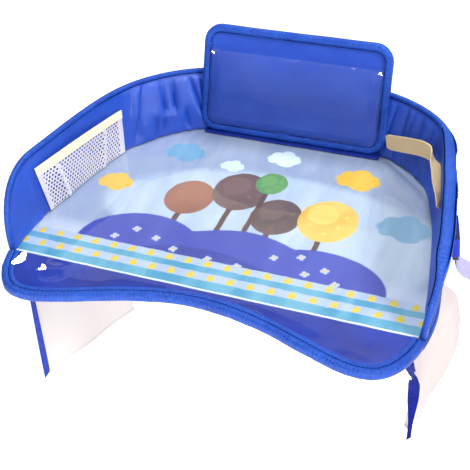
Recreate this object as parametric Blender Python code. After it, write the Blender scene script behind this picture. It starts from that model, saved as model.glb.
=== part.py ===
"""Car seat tray table: a padded fabric tray with a soft raised wall, a clear
cover over a printed sheet, a tilting clear pocket at the back, a mesh side
pocket, an elastic toy loop, two hanging side flaps and two belt halves.

Frame: origin at the centre of the flat underside, +X to the sitter's right,
+Y away from the sitter, +Z up.  Values below are millimetres.
"""
import math

import bmesh
import bpy
import numpy as np
from mathutils import Matrix, Vector

MM = 0.001

# ---------------------------------------------------------------- dimensions
# outline of the tray, right half from front centre to back centre
OUTLINE = [(0.0, -125.6), (60.7, -135.1), (115.1, -154.0), (169.9, -159.1),
           (198.5, -103.5), (193.1, -19.2), (163.0, 98.5), (92.3, 156.6),
           (0.0, 162.0)]
N_OUT = 84                 # points round each flat layer

# layers of the flat panel, bottom to top
Z_COVER = (0.0, 0.6)       # bottom cloth
Z_BOARD = (0.9, 2.9)       # stiff board
Z_FOAM = (3.2, 5.7)        # thin foam
Z_SHEET = (6.0, 6.6)       # printed sheet, piping and apron
Z_CLEAR = (6.9, 7.5)       # clear cover
TOP = 7.5
LAYER_INSET = 1.3          # layers stop short of the edge tape
COVER_INSET = 10.4         # bottom cloth, beside the lower leg of the tape
TAPE = 1.0                 # edge tape thickness
TAPE_LEG = 10.0            # width of the tape on the top face
PRINT_LINE = -107.7        # straight front edge of the printed sheet
PIPING = 2.4               # width of the white piping

# raised wall
WALL_FRONT = -111.7        # y where the wall starts on each side
WALL_RISE = 64.0           # length over which it rises to full height
WALL_H_SIDE, WALL_H_BACK = 69.3, 63.0
WALL_LEAN_SIDE, WALL_LEAN_BACK = 5.5, 16.5
WALL_INSET = 4.7           # inner face at its foot, in from the outline
LEAN_Y = (35.0, 140.0)     # the wall leans further back between these
WALL_FOOT = 0.3            # gap under the wall layers
COVER_T, BOARD_T, GAP = 0.6, 2.1, 0.3

# mesh pocket on the left wall, by y
POCKET_Y = (-45.0, 83.0)
POCKET_H = 44.5
POCKET_BAND = 9.5
POCKET_BULGE = 11.5

# toy loop on the right wall: centre line points (x, y, height above panel)
LOOP_A = (104.5, 147.0, 16.0)
LOOP_B = (156.5, 99.5, 43.0)
LOOP_C = (172.0, 41.0, 22.0)
LOOP_W, LOOP_T = 16.0, 1.1

# clear pocket that tilts on the back edge
HOLD_PIVOT = (-1.5, 143.0, 10.5)
HOLD_TILT = 11.5           # degrees back from upright
HOLD_W, HOLD_H, HOLD_R = 203.0, 116.4, 18.0
HOLD_RAISE = 8.5           # how far the clear window stands forward
HOLD_MARGIN = 9.0          # width over which it comes forward
WINDOW_TOP = 91.0          # height of the open upper edge of the window

# belt halves, each in a frame on the outside of the wall
BELT_POINT_Y = 44.0
BELT_W, BELT_T = 28.0, 1.4
BELT_OUT = 1.5             # gap from wall cloth to webbing centre at the top
BELT_TOP = 57.0            # above the panel
BELT_LEAN = 5.2            # degrees off upright of the straight run
SLIDER_Z = -12.0           # slider centre above the panel
BUCKLE_Z = -128.0          # buckle bar above the panel

# side flaps
FLAP_A, FLAP_B = (186.5, -118.0), (173.5, 24.0)
FLAP_AXIS_Z = -1.5
HEM = (-4.6, 0.8)          # hem strip beside the bottom cloth, inner and outer side
FLAP_DROP = (152.0, 184.0)  # depth at the front edge and at the rear edge
FLAP_T = 0.8
RIBBON_W = 7.0

# ---------------------------------------------------------------- clean start
for ob in list(bpy.data.objects):
    bpy.data.objects.remove(ob, do_unlink=True)


# ---------------------------------------------------------------- materials
def material(name, rgb, rough=0.6, metal=0.0, alpha=1.0):
    m = bpy.data.materials.new(name)
    m.use_nodes = True
    p = m.node_tree.nodes["Principled BSDF"]
    p.inputs["Base Color"].default_value = (*rgb, 1.0)
    p.inputs["Roughness"].default_value = rough
    p.inputs["Metallic"].default_value = metal
    p.inputs["Alpha"].default_value = alpha
    return m


BLUE = (0.035, 0.115, 0.66)
NAVY = (0.018, 0.045, 0.30)


# ---------------------------------------------------------------- helpers
def finish(name, bm, mat, parent=None, smooth=True):
    """Turn a bmesh in millimetres into an object in metres."""
    bmesh.ops.recalc_face_normals(bm, faces=bm.faces)
    bmesh.ops.scale(bm, vec=(MM, MM, MM), verts=bm.verts)
    me = bpy.data.meshes.new(name)
    bm.to_mesh(me)
    bm.free()
    ob = bpy.data.objects.new(name, me)
    bpy.context.scene.collection.objects.link(ob)
    ob.data.materials.append(mat)
    if smooth:
        me.shade_smooth()
        me.set_sharp_from_angle(angle=math.radians(40))
    if parent is not None:
        ob.parent = parent
    return ob


def pivot(name, loc, rot):
    """An empty at loc (mm) whose axes are those of the rotation matrix."""
    e = bpy.data.objects.new(name, None)
    bpy.context.scene.collection.objects.link(e)
    e.empty_display_size = 0.02
    e.location = Vector(loc) * MM
    e.rotation_euler = rot.to_euler()
    return e


def plate(name, loop, z0, z1, mat, parent=None):
    """Flat layer: a polygon face extruded from z0 to z1."""
    bm = bmesh.new()
    face = bm.faces.new([bm.verts.new((x, y, z0)) for x, y in loop])
    out = bmesh.ops.extrude_face_region(bm, geom=[face], use_keep_orig=True)
    top = [g for g in out["geom"] if isinstance(g, bmesh.types.BMVert)]
    bmesh.ops.translate(bm, verts=top, vec=(0, 0, z1 - z0))
    return finish(name, bm, mat, parent)


def sweep(name, sections, mat, ring=False, parent=None, split=None):
    """Loft through section loops; open sweeps are capped.

    split gives, for each side of the section, the corner that its diagonals
    start from, so that twisted layers beside each other stay parallel.
    """
    bm = bmesh.new()
    rows = [[bm.verts.new(p) for p in sec] for sec in sections]
    k, m = len(rows[0]), len(rows)
    for i in range(m if ring else m - 1):
        a, b = rows[i], rows[(i + 1) % m]
        for j in range(k):
            j2 = (j + 1) % k
            if split is None:
                bm.faces.new((a[j], a[j2], b[j2], b[j]))
            elif split[j] == 0:
                bm.faces.new((a[j], a[j2], b[j2]))
                bm.faces.new((a[j], b[j2], b[j]))
            else:
                bm.faces.new((a[j], a[j2], b[j]))
                bm.faces.new((a[j2], b[j2], b[j]))
    if not ring:
        bm.faces.new(rows[0][::-1])
        bm.faces.new(rows[-1])
    return finish(name, bm, mat, parent)


def cloth(name, rows, thick, mat, parent=None, side=0.0):
    """A sheet through a grid of points, given its thickness by Solidify."""
    bm = bmesh.new()
    vs = [[bm.verts.new(p) for p in row] for row in rows]
    for i in range(len(vs) - 1):
        for j in range(len(vs[0]) - 1):
            bm.faces.new((vs[i][j], vs[i][j + 1], vs[i + 1][j + 1], vs[i + 1][j]))
    ob = finish(name, bm, mat, parent)
    so = ob.modifiers.new("thickness", "SOLIDIFY")
    so.thickness = thick * MM
    so.offset = side
    so.use_even_offset = True
    return ob


def block(x, y, z):
    """An axis-aligned block in a bmesh, from (low, high) pairs in mm."""
    bm = bmesh.new()
    bmesh.ops.create_cube(bm, size=1.0)
    c = Vector(((x[0] + x[1]) / 2, (y[0] + y[1]) / 2, (z[0] + z[1]) / 2))
    bmesh.ops.scale(bm, vec=(x[1] - x[0], y[1] - y[0], z[1] - z[0]), verts=bm.verts)
    bmesh.ops.translate(bm, vec=c, verts=bm.verts)
    return bm


def boolean(ob, bm, operation):
    """Cut or add a block with a Boolean; the tool object is only a guide."""
    tool = finish(ob.name + ".tool", bm, ob.data.materials[0], ob.parent, smooth=False)
    tool.hide_render = True
    tool.display_type = "WIRE"
    mod = ob.modifiers.new("shape", "BOOLEAN")
    mod.operation = operation
    mod.solver = "EXACT"
    mod.object = tool


def round_edges(ob, width, seg=2):
    be = ob.modifiers.new("edges", "BEVEL")
    be.width = width * MM
    be.segments = seg
    be.limit_method = "ANGLE"
    be.angle_limit = math.radians(50)


def smoothstep(t):
    t = np.clip(t, 0.0, 1.0)
    return t * t * (3 - 2 * t)


# ---------------------------------------------------------------- the outline
def closed_spline(ctrl, n):
    """Periodic cubic through the points, knots by the root of their spacing."""
    p = np.array(ctrl, float)
    m = len(p)
    h = np.sqrt(np.linalg.norm(np.roll(p, -1, 0) - p, axis=1))
    A = np.zeros((m, m))
    B = np.zeros((m, 2))
    for i in range(m):
        a, b = (i - 1) % m, (i + 1) % m
        A[i, a] += h[a]
        A[i, i] += 2 * (h[a] + h[i])
        A[i, b] += h[i]
        B[i] = 6 * ((p[b] - p[i]) / h[i] - (p[i] - p[a]) / h[a])
    M = np.linalg.solve(A, B)
    t = np.r_[0.0, np.cumsum(h)]
    out = []
    for s in np.linspace(0.0, t[-1], n, endpoint=False):
        i = min(int(np.searchsorted(t, s, side="right")) - 1, m - 1)
        b = (i + 1) % m
        u, v = s - t[i], t[i + 1] - s
        out.append(M[i] * v ** 3 / (6 * h[i]) + M[b] * u ** 3 / (6 * h[i])
                   + (p[i] / h[i] - M[i] * h[i] / 6) * v
                   + (p[b] / h[i] - M[b] * h[i] / 6) * u)
    return np.array(out)


right = OUTLINE
left = [(-x, y) for x, y in OUTLINE[-2:0:-1]]
DENSE = closed_spline(right + left, 2400)
seg = np.linalg.norm(np.roll(DENSE, -1, 0) - DENSE, axis=1)
ARC = np.r_[0.0, np.cumsum(seg)]
LENGTH = ARC[-1]


def on_outline(s):
    """Point and outward normal at arc length s from the front centre."""
    s = s % LENGTH
    q = np.vstack([DENSE, DENSE[:1]])
    f = lambda u: np.array([np.interp(u % LENGTH, ARC, q[:, 0]),
                            np.interp(u % LENGTH, ARC, q[:, 1])])
    tan = f(s + 1.5) - f(s - 1.5)
    tan /= np.linalg.norm(tan)
    return f(s), np.array([tan[1], -tan[0]])


def inset_loop(d, n=N_OUT):
    """Outline moved in by d."""
    return [tuple(p - nn * d) for p, nn in (on_outline(LENGTH * i / n) for i in range(n))]


def clip(loop, y, above):
    """The part of a loop on one side of a line of constant y."""
    out = []
    keep = (lambda q: q[1] >= y) if above else (lambda q: q[1] <= y)
    for a, b in zip(loop, loop[1:] + loop[:1]):
        if keep(a):
            out.append(a)
        if keep(a) != keep(b):
            t = (y - a[1]) / (b[1] - a[1])
            out.append((a[0] + t * (b[0] - a[0]), y))
    return out


def arc_at_y(y, lo=0.0, hi=0.5):
    """Arc length on the right side where the outline reaches y."""
    best = None
    for i in range(len(DENSE)):
        s = ARC[i]
        if not (lo * LENGTH <= s <= hi * LENGTH):
            continue
        if DENSE[i][0] > 60 and (best is None or abs(DENSE[i][1] - y) < best[0]):
            if DENSE[i][0] > 150 or y > 60:
                best = (abs(DENSE[i][1] - y), s)
    return best[1]


S_WALL = arc_at_y(WALL_FRONT, 0.15, 0.5)       # right front end of the wall
S_END = LENGTH - S_WALL


def wall_size(s):
    """Height and lean of the wall at arc length s."""
    p, _ = on_outline(s)
    w = smoothstep((p[1] - LEAN_Y[0]) / (LEAN_Y[1] - LEAN_Y[0]))
    full = WALL_H_SIDE + (WALL_H_BACK - WALL_H_SIDE) * w
    lean = (WALL_LEAN_SIDE + (WALL_LEAN_BACK - WALL_LEAN_SIDE) * w) / full
    t = min(max((p[1] - WALL_FRONT) / WALL_RISE, 0.0), 1.0)
    return full * math.sqrt(max(1 - (1 - t) ** 2, 0.0)), lean


def wall_point(s, a, z):
    """a: distance out from the inner face; z: height above the panel."""
    p, n = on_outline(s)
    q = p + n * (-WALL_INSET + a + wall_size(s)[1] * z)
    return (q[0], q[1], TOP + z)


def wall_stations(s0, s1, n, dense_start=False, dense_end=False):
    t = np.linspace(0.0, 1.0, n)
    if dense_start and dense_end:
        t = (t + 0.75 * (0.5 - 0.5 * np.cos(math.pi * t))) / 1.75
    return [s0 + (s1 - s0) * float(u) for u in t]


def wall_section(s, a0, a1, z0, below_top):
    h = wall_size(s)[0] - below_top
    return np.array([wall_point(s, a0, z0), wall_point(s, a1, z0),
                     wall_point(s, a1, h), wall_point(s, a0, h)])


def wall_band(name, first, last, a0, a1, z0, below_top, mat):
    """A curved layer of the wall between offsets a0 and a1.

    first and last are places along the stations; a fraction lies on the
    straight run between two stations, so that all layers stay parallel.
    """
    places = [first] + [float(i) for i in range(math.floor(first) + 1, math.ceil(last))] + [last]
    secs = []
    for place in places:
        i = min(int(place), len(stations) - 2)
        f = place - i
        a = wall_section(stations[i], a0, a1, z0, below_top)
        b = wall_section(stations[i + 1], a0, a1, z0, below_top)
        secs.append([tuple(q) for q in a * (1 - f) + b * f])
    return sweep(name, secs, mat, split=(0, 0, 0, 1))


# ---------------------------------------------------------------- flat panel
def clip_line(loop, a, b):
    """The part of a loop on the left of the line from a to b."""
    out = []
    off = lambda q: (b[0] - a[0]) * (q[1] - a[1]) - (b[1] - a[1]) * (q[0] - a[0])
    for p, q in zip(loop, loop[1:] + loop[:1]):
        u, v = off(p), off(q)
        if u >= 0:
            out.append(p)
        if (u >= 0) != (v >= 0):
            t = u / (u - v)
            out.append((p[0] + t * (q[0] - p[0]), p[1] + t * (q[1] - p[1])))
    return out


layer = inset_loop(LAYER_INSET)
# the bottom cloth lies between the lower legs of the tape and the two hems,
# so its flat underside is the lowest face of the panel
edge = HEM[0] - 0.4
cover = clip_line(inset_loop(COVER_INSET), (FLAP_A[0] + edge, FLAP_A[1]), (FLAP_B[0] + edge, FLAP_B[1]))
cover = clip_line(cover, (-FLAP_B[0] - edge, FLAP_B[1]), (-FLAP_A[0] - edge, FLAP_A[1]))
plate("bottom_cover", cover, *Z_COVER, material("cloth_under", NAVY, 0.8))
plate("base_board", layer, *Z_BOARD, material("board", (0.55, 0.55, 0.55), 0.6))
plate("foam_pad", layer, *Z_FOAM, material("foam", (0.75, 0.75, 0.75), 0.9))
plate("printed_sheet", clip(layer, PRINT_LINE + PIPING / 2 + 0.3, True), *Z_SHEET,
      material("print", (0.55, 0.68, 0.86), 0.6))
plate("front_apron", clip(layer, PRINT_LINE - PIPING / 2 - 0.3, False), *Z_SHEET,
      material("apron_cloth", NAVY, 0.6))
piping = clip(clip(layer, PRINT_LINE - PIPING / 2, True), PRINT_LINE + PIPING / 2, False)
plate("print_piping", piping, *Z_SHEET, material("piping", (0.85, 0.88, 0.92), 0.6))
plate("clear_cover", layer, *Z_CLEAR, material("clear_film", (0.9, 0.93, 0.97), 0.05, 0.0, 0.25))


def tape_section(s, prof):
    p, n = on_outline(s)
    return [(p[0] + n[0] * r, p[1] + n[1] * r, z) for r, z in prof]


# tape round the front edge: over the clear cover, round the edge and under
full_tape = [(0.0, 0.0), (0.0, 8.6), (-TAPE_LEG, 8.6), (-TAPE_LEG, 7.8),
             (-TAPE, 7.8), (-TAPE, 0.6), (-TAPE_LEG, 0.6), (-TAPE_LEG, 0.0)]
low_tape = [(0.0, 0.0), (0.0, 7.2), (-TAPE, 7.2), (-TAPE, 0.6),
            (-TAPE_LEG, 0.6), (-TAPE_LEG, 0.0)]
tape_mat = material("edge_tape", BLUE, 0.5)
secs = [tape_section(s, full_tape) for s in np.linspace(-S_WALL + 2.0, S_WALL - 2.0, 46)]
sweep("front_edge_binding", secs, tape_mat)
secs = [tape_section(s, low_tape) for s in np.linspace(S_WALL - 1.5, S_END + 1.5, 60)]
sweep("rear_edge_binding", secs, tape_mat)

# ---------------------------------------------------------------- raised wall
S0, S1 = S_WALL + 2.0, S_END - 2.0
cloth_mat = material("wall_cloth", BLUE, 0.55)
board_mat = material("wall_board", (0.6, 0.6, 0.6), 0.6)
stations = wall_stations(S0, S1, 62, True, True)
LAST = len(stations) - 1.0
wall_band("wall_inner_cover", 0.0, LAST, 0.0, COVER_T, WALL_FOOT, 0.4, cloth_mat)
a_board = COVER_T + GAP
a_outer = a_board + BOARD_T + GAP
wall_band("wall_outer_cover", 0.0, LAST, a_outer, a_outer + COVER_T, WALL_FOOT, 0.4, cloth_mat)
third = LAST / 3
for nm, lo, hi in (("right", 0.5, third - 0.05), ("back", third + 0.05, LAST - third - 0.05),
                   ("left", LAST - third + 0.05, LAST - 0.5)):
    wall_band("wall_board_" + nm, lo, hi, a_board, a_board + BOARD_T, WALL_FOOT, 1.2, board_mat)

# rolled binding along the top of the wall, dropping to the panel at the front
A_IN, A_OUT = -0.3, a_outer + COVER_T + 0.3
secs = []
for s in stations:
    h, _ = wall_size(s)
    leg = max(min(8.0, h - 1.2), 1.0)
    r = 0.9
    prof = [(A_IN - r, h - leg), (A_IN - r, h - 0.2), (A_IN + 0.9, h + 1.3),
            (A_OUT - 0.9, h + 1.3), (A_OUT + r, h - 0.2), (A_OUT + r, h - leg),
            (A_OUT, h - leg), (A_OUT, h - 0.1), (A_IN, h - 0.1), (A_IN, h - leg)]
    secs.append([wall_point(s, a, z) for a, z in prof])
sweep("wall_top_binding", secs, material("rolled_tape", BLUE, 0.45))


# ---------------------------------------------------------------- mesh pocket
def pocket_rows(z0, z1, nz, bulge_scale, a_gap):
    """Sheet in front of the left wall between two heights, as rows of points."""
    sa = LENGTH - arc_at_y(POCKET_Y[0], 0.2, 0.5)
    sb = LENGTH - arc_at_y(POCKET_Y[1], 0.2, 0.5)
    rows = []
    for z in np.linspace(z0, z1, nz):
        row = []
        for u in np.linspace(0.0, 1.0, 15):
            s = sa + (sb - sa) * u
            lift = math.sin(math.pi * u) ** 0.8 * (0.45 + 0.55 * z / (POCKET_H + POCKET_BAND))
            row.append(wall_point(s, -(a_gap + POCKET_BULGE * bulge_scale * lift), float(z)))
        rows.append(row)
    return rows


cloth("mesh_pocket", pocket_rows(0.6, POCKET_H, 5, 1.0, 1.6), 0.8,
      material("mesh", (0.9, 0.9, 0.92), 0.8))
cloth("pocket_elastic", pocket_rows(POCKET_H + 0.4, POCKET_H + POCKET_BAND, 3, 1.0, 1.6), 1.2,
      material("cream_elastic", (0.92, 0.84, 0.70), 0.75))


# ---------------------------------------------------------------- toy loop
def open_spline(points, n):
    """Natural cubic through points in any dimension, n samples."""
    p = np.array(points, float)
    m = len(p)
    h = np.sqrt(np.linalg.norm(p[1:] - p[:-1], axis=1))
    A = np.eye(m)
    B = np.zeros_like(p)
    for i in range(1, m - 1):
        A[i, i - 1], A[i, i], A[i, i + 1] = h[i - 1], 2 * (h[i - 1] + h[i]), h[i]
        B[i] = 6 * ((p[i + 1] - p[i]) / h[i] - (p[i] - p[i - 1]) / h[i - 1])
    M = np.linalg.solve(A, B)
    t = np.r_[0.0, np.cumsum(h)]
    out = []
    for s in np.linspace(0.0, t[-1], n):
        i = min(int(np.searchsorted(t, s, side="right")) - 1, m - 2)
        u, v = s - t[i], t[i + 1] - s
        out.append(M[i] * v ** 3 / (6 * h[i]) + M[i + 1] * u ** 3 / (6 * h[i])
                   + (p[i] / h[i] - M[i] * h[i] / 6) * v
                   + (p[i + 1] / h[i] - M[i + 1] * h[i] / 6) * u)
    return np.array(out)


def ribbon_rows(path, widths, tilts):
    """Two-edged band along a path; tilt turns its width off upright."""
    lo, mid, hi = [], [], []
    for i, q in enumerate(path):
        t = path[min(i + 1, len(path) - 1)] - path[max(i - 1, 0)]
        t /= np.linalg.norm(t)
        up = np.array([0.0, 0.0, 1.0])
        up = up - t * up.dot(t)
        up /= np.linalg.norm(up)
        side = np.cross(t, up)
        w = up * math.cos(tilts[i]) + side * math.sin(tilts[i])
        lo.append(tuple(q - w * widths[i] / 2))
        mid.append(tuple(q))
        hi.append(tuple(q + w * widths[i] / 2))
    return [lo, mid, hi]


def lift(p):
    return (p[0], p[1], p[2] + TOP)


front_path = open_spline([lift(LOOP_A), lift((131.5, 123.5, 31.0)), lift(LOOP_B)], 13)
cloth("toy_loop_front", ribbon_rows(front_path, [LOOP_W] * 13, [0.0] * 13), LOOP_T,
      material("cream_elastic_loop", (0.85, 0.72, 0.52), 0.75))
b2 = (LOOP_B[0] + 2.2, LOOP_B[1] - 3.5, LOOP_B[2] - 2.0)
rear_path = open_spline([lift(b2), lift((167.5, 71.0, 35.0)), lift(LOOP_C)], 12)
cloth("toy_loop_rear", ribbon_rows(rear_path, [LOOP_W - 0.35 * i for i in range(12)],
                                  [0.06 * i for i in range(12)]), LOOP_T,
      material("cream_elastic_rear", (0.85, 0.72, 0.52), 0.75))


# ---------------------------------------------------------------- clear pocket
HOLD = pivot("holder_axis", HOLD_PIVOT, Matrix.Rotation(math.radians(-HOLD_TILT), 3, "X"))


def round_rect(w, h, r, n=5):
    """Counter-clockwise loop of (u, v), v from 0 to h, starting bottom left."""
    out = []
    for cu, cv, a0 in ((w / 2 - r, r, -90), (w / 2 - r, h - r, 0),
                       (-w / 2 + r, h - r, 90), (-w / 2 + r, r, 180)):
        for i in range(n + 1):
            a = math.radians(a0 + 90 * i / n)
            out.append((cu + r * math.cos(a), cv + r * math.sin(a)))
    return out


def upright(name, loop, n0, n1, mat):
    """A plate standing in the holder's frame between depths n0 and n1."""
    bm = bmesh.new()
    face = bm.faces.new([bm.verts.new((u, n0, v)) for u, v in loop])
    out = bmesh.ops.extrude_face_region(bm, geom=[face], use_keep_orig=True)
    top = [g for g in out["geom"] if isinstance(g, bmesh.types.BMVert)]
    bmesh.ops.translate(bm, verts=top, vec=(0, n1 - n0, 0))
    return finish(name, bm, mat, HOLD)


def inner_rect(d):
    return [(u, v + d) for u, v in round_rect(HOLD_W - 2 * d, HOLD_H - 2 * d, HOLD_R - d)]


upright("holder_lining", inner_rect(LAYER_INSET), 0.9, 1.4, material("holder_cloth", BLUE, 0.6))
upright("holder_board", inner_rect(LAYER_INSET), 1.7, 3.7,
        material("holder_stiffener", (0.6, 0.6, 0.6), 0.6))
upright("holder_back_cover", inner_rect(LAYER_INSET), 4.0, 4.6,
        material("holder_rear", BLUE, 0.6))

# tape with a C section on the sides and bottom, and over the top of the back
c_prof = [(0.0, -0.9), (0.0, 5.5), (-TAPE_LEG, 5.5), (-TAPE_LEG, 4.9), (-TAPE, 4.9),
          (-TAPE, -0.3), (-TAPE_LEG, -0.3), (-TAPE_LEG, -0.9)]
t_prof = [(0.0, -0.1), (0.0, 5.5), (-TAPE_LEG, 5.5), (-TAPE_LEG, 4.9), (-TAPE, 4.9),
          (-TAPE, 0.6), (-TAPE_LEG, 0.6), (-TAPE_LEG, -0.1)]


def holder_tape(name, path, prof, mat):
    secs = []
    for (u, v), (nu, nv) in path:
        secs.append([(u + nu * r, n, v + nv * r) for r, n in prof])
    return sweep(name, secs, mat, parent=HOLD)


def holder_edge(parts):
    """Points and outward normals along pieces of the rounded outline."""
    w, h, r = HOLD_W, HOLD_H, HOLD_R
    out = []
    for p in parts:
        if p[0] == "line":
            _, a, b, nn = p
            for t in (0.0, 1.0):
                out.append(((a[0] + (b[0] - a[0]) * t, a[1] + (b[1] - a[1]) * t), nn))
        else:
            _, cu, cv, a0, a1, k = p
            for i in range(1, k):
                a = math.radians(a0 + (a1 - a0) * i / k)
                out.append(((cu + r * math.cos(a), cv + r * math.sin(a)),
                            (math.cos(a), math.sin(a))))
    return out


hw, hh, hr = HOLD_W / 2, HOLD_H, HOLD_R
holder_bind_mat = material("holder_tape", BLUE, 0.5)
u_path = holder_edge([("line", (-hw, hh - hr - 0.4), (-hw, hr), (-1, 0)),
                      ("arc", -hw + hr, hr, 180, 270, 6),
                      ("line", (-hw + hr, 0), (hw - hr, 0), (0, -1)),
                      ("arc", hw - hr, hr, -90, 0, 6),
                      ("line", (hw, hr), (hw, hh - hr - 0.4), (1, 0))])
holder_tape("holder_binding", u_path, c_prof, holder_bind_mat)
o_path = holder_edge([("line", (hw, hh - hr), (hw, hh - hr + 0.1), (1, 0)),
                      ("arc", hw - hr, hh - hr, 0, 90, 6),
                      ("line", (hw - hr, hh), (-hw + hr, hh), (0, 1)),
                      ("arc", -hw + hr, hh - hr, 90, 180, 6),
                      ("line", (-hw, hh - hr + 0.1), (-hw, hh - hr), (-1, 0))])
holder_tape("holder_top_binding", o_path, t_prof, holder_bind_mat)

# clear window: sewn at its sides and foot, open along its upper edge
win_top = WINDOW_TOP
rows = []
for v in list(np.linspace(LAYER_INSET, 30.0, 8)) + list(np.linspace(40.0, win_top, 6)):
    # the sheet narrows inside the rounded lower corners
    dv = max(HOLD_R - v, 0.0)
    half = HOLD_W / 2 - HOLD_R + math.sqrt(max((HOLD_R - LAYER_INSET) ** 2 - dv ** 2, 0.0))
    row = []
    for q in np.linspace(-1.0, 1.0, 31):
        k = math.copysign(1 - (1 - abs(q)) ** 1.5, q)
        u = half * k
        side = smoothstep((half - abs(u) - TAPE_LEG - 1.5) / HOLD_MARGIN)
        foot = smoothstep((v - TAPE_LEG - 1.0) / HOLD_MARGIN)
        row.append((u, 0.25 - HOLD_RAISE * float(side) * float(foot), v))
    rows.append(row)
cloth("holder_window", rows, 0.5, material("clear_window", (0.9, 0.93, 0.97), 0.05, 0.0, 0.25), HOLD)

# welded clear hem along the open upper edge of the window
lip = []
for q in np.linspace(-0.86, 0.86, 21):
    half = HOLD_W / 2 - LAYER_INSET
    u = half * q
    side = float(smoothstep((half - abs(u) - TAPE_LEG - 1.5) / HOLD_MARGIN))
    n0 = 0.25 - HOLD_RAISE * side
    v0 = win_top
    lip.append([(u, n0 - 0.6, v0 + 0.3), (u, n0 + 0.6, v0 + 0.3),
                (u, n0 + 0.6, v0 + 1.5), (u, n0 - 0.6, v0 + 1.5)])
sweep("window_lip", lip, material("lip_film", (0.9, 0.93, 0.97), 0.05, 0.0, 0.35), parent=HOLD)

# sewn strip on the panel that the holder swings from
hinge = [(HOLD_PIVOT[0] - 97.0, 132.0), (HOLD_PIVOT[0] + 97.0, 132.0),
         (HOLD_PIVOT[0] + 97.0, 141.2), (HOLD_PIVOT[0] - 97.0, 141.2)]
plate("holder_hinge_strip", hinge, TOP + 0.3, TOP + 1.1, material("hinge_cloth", NAVY, 0.6))


# ---------------------------------------------------------------- belt halves
def belt_frame(side):
    """Empty on the outside of the wall: x out, z up, at panel height."""
    s = arc_at_y(BELT_POINT_Y, 0.2, 0.5)
    p, n = on_outline(s)
    lean = wall_size(s)[1]
    base = p + n * (-WALL_INSET + a_outer + COVER_T)
    ang = math.atan2(n[1], n[0])
    if side == "right":
        loc, rot = (base[0], base[1], TOP), ang
    else:
        loc, rot = (-base[0], base[1], TOP), math.pi - ang
    e = pivot("belt_frame_" + side, loc, Matrix.Rotation(rot, 3, "Z"))
    return e, lean


def belt_line(z, lean):
    """x of the webbing centre on its straight run, at height z."""
    top = lean * BELT_TOP + BELT_OUT
    return top + (BELT_TOP - z) * math.tan(math.radians(BELT_LEAN))


def belt_path(lean):
    pts = [(belt_line(z, lean), z) for z in (BELT_TOP, 40.0, 20.0, 0.0, -12.0, -27.0)]
    x0 = pts[-1][0]
    bend = [(x0 + 2.6, -38.0), (x0 + 9.0, -46.5), (x0 + 18.5, -52.5), (x0 + 27.0, -60.5),
            (x0 + 31.6, -74.0), (x0 + 33.0, -92.0), (x0 + 33.0, -110.0), (x0 + 33.0, BUCKLE_Z)]
    smooth = open_spline(pts[-2:] + bend, 30)
    line = [np.array(q) for q in pts[:-2]]
    path = line + list(smooth)
    # round the buckle bar and back up
    r = 2.7
    cx, cz = path[-1][0] + r, path[-1][1]
    for i in range(1, 9):
        a = math.pi + math.pi * i / 8
        path.append(np.array([cx + r * math.cos(a), cz + r * math.sin(a)]))
    path.append(np.array([cx + r, cz + 7.0]))
    path.append(np.array([cx + r, cz + 15.0]))
    return path, (cx, cz)


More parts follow.
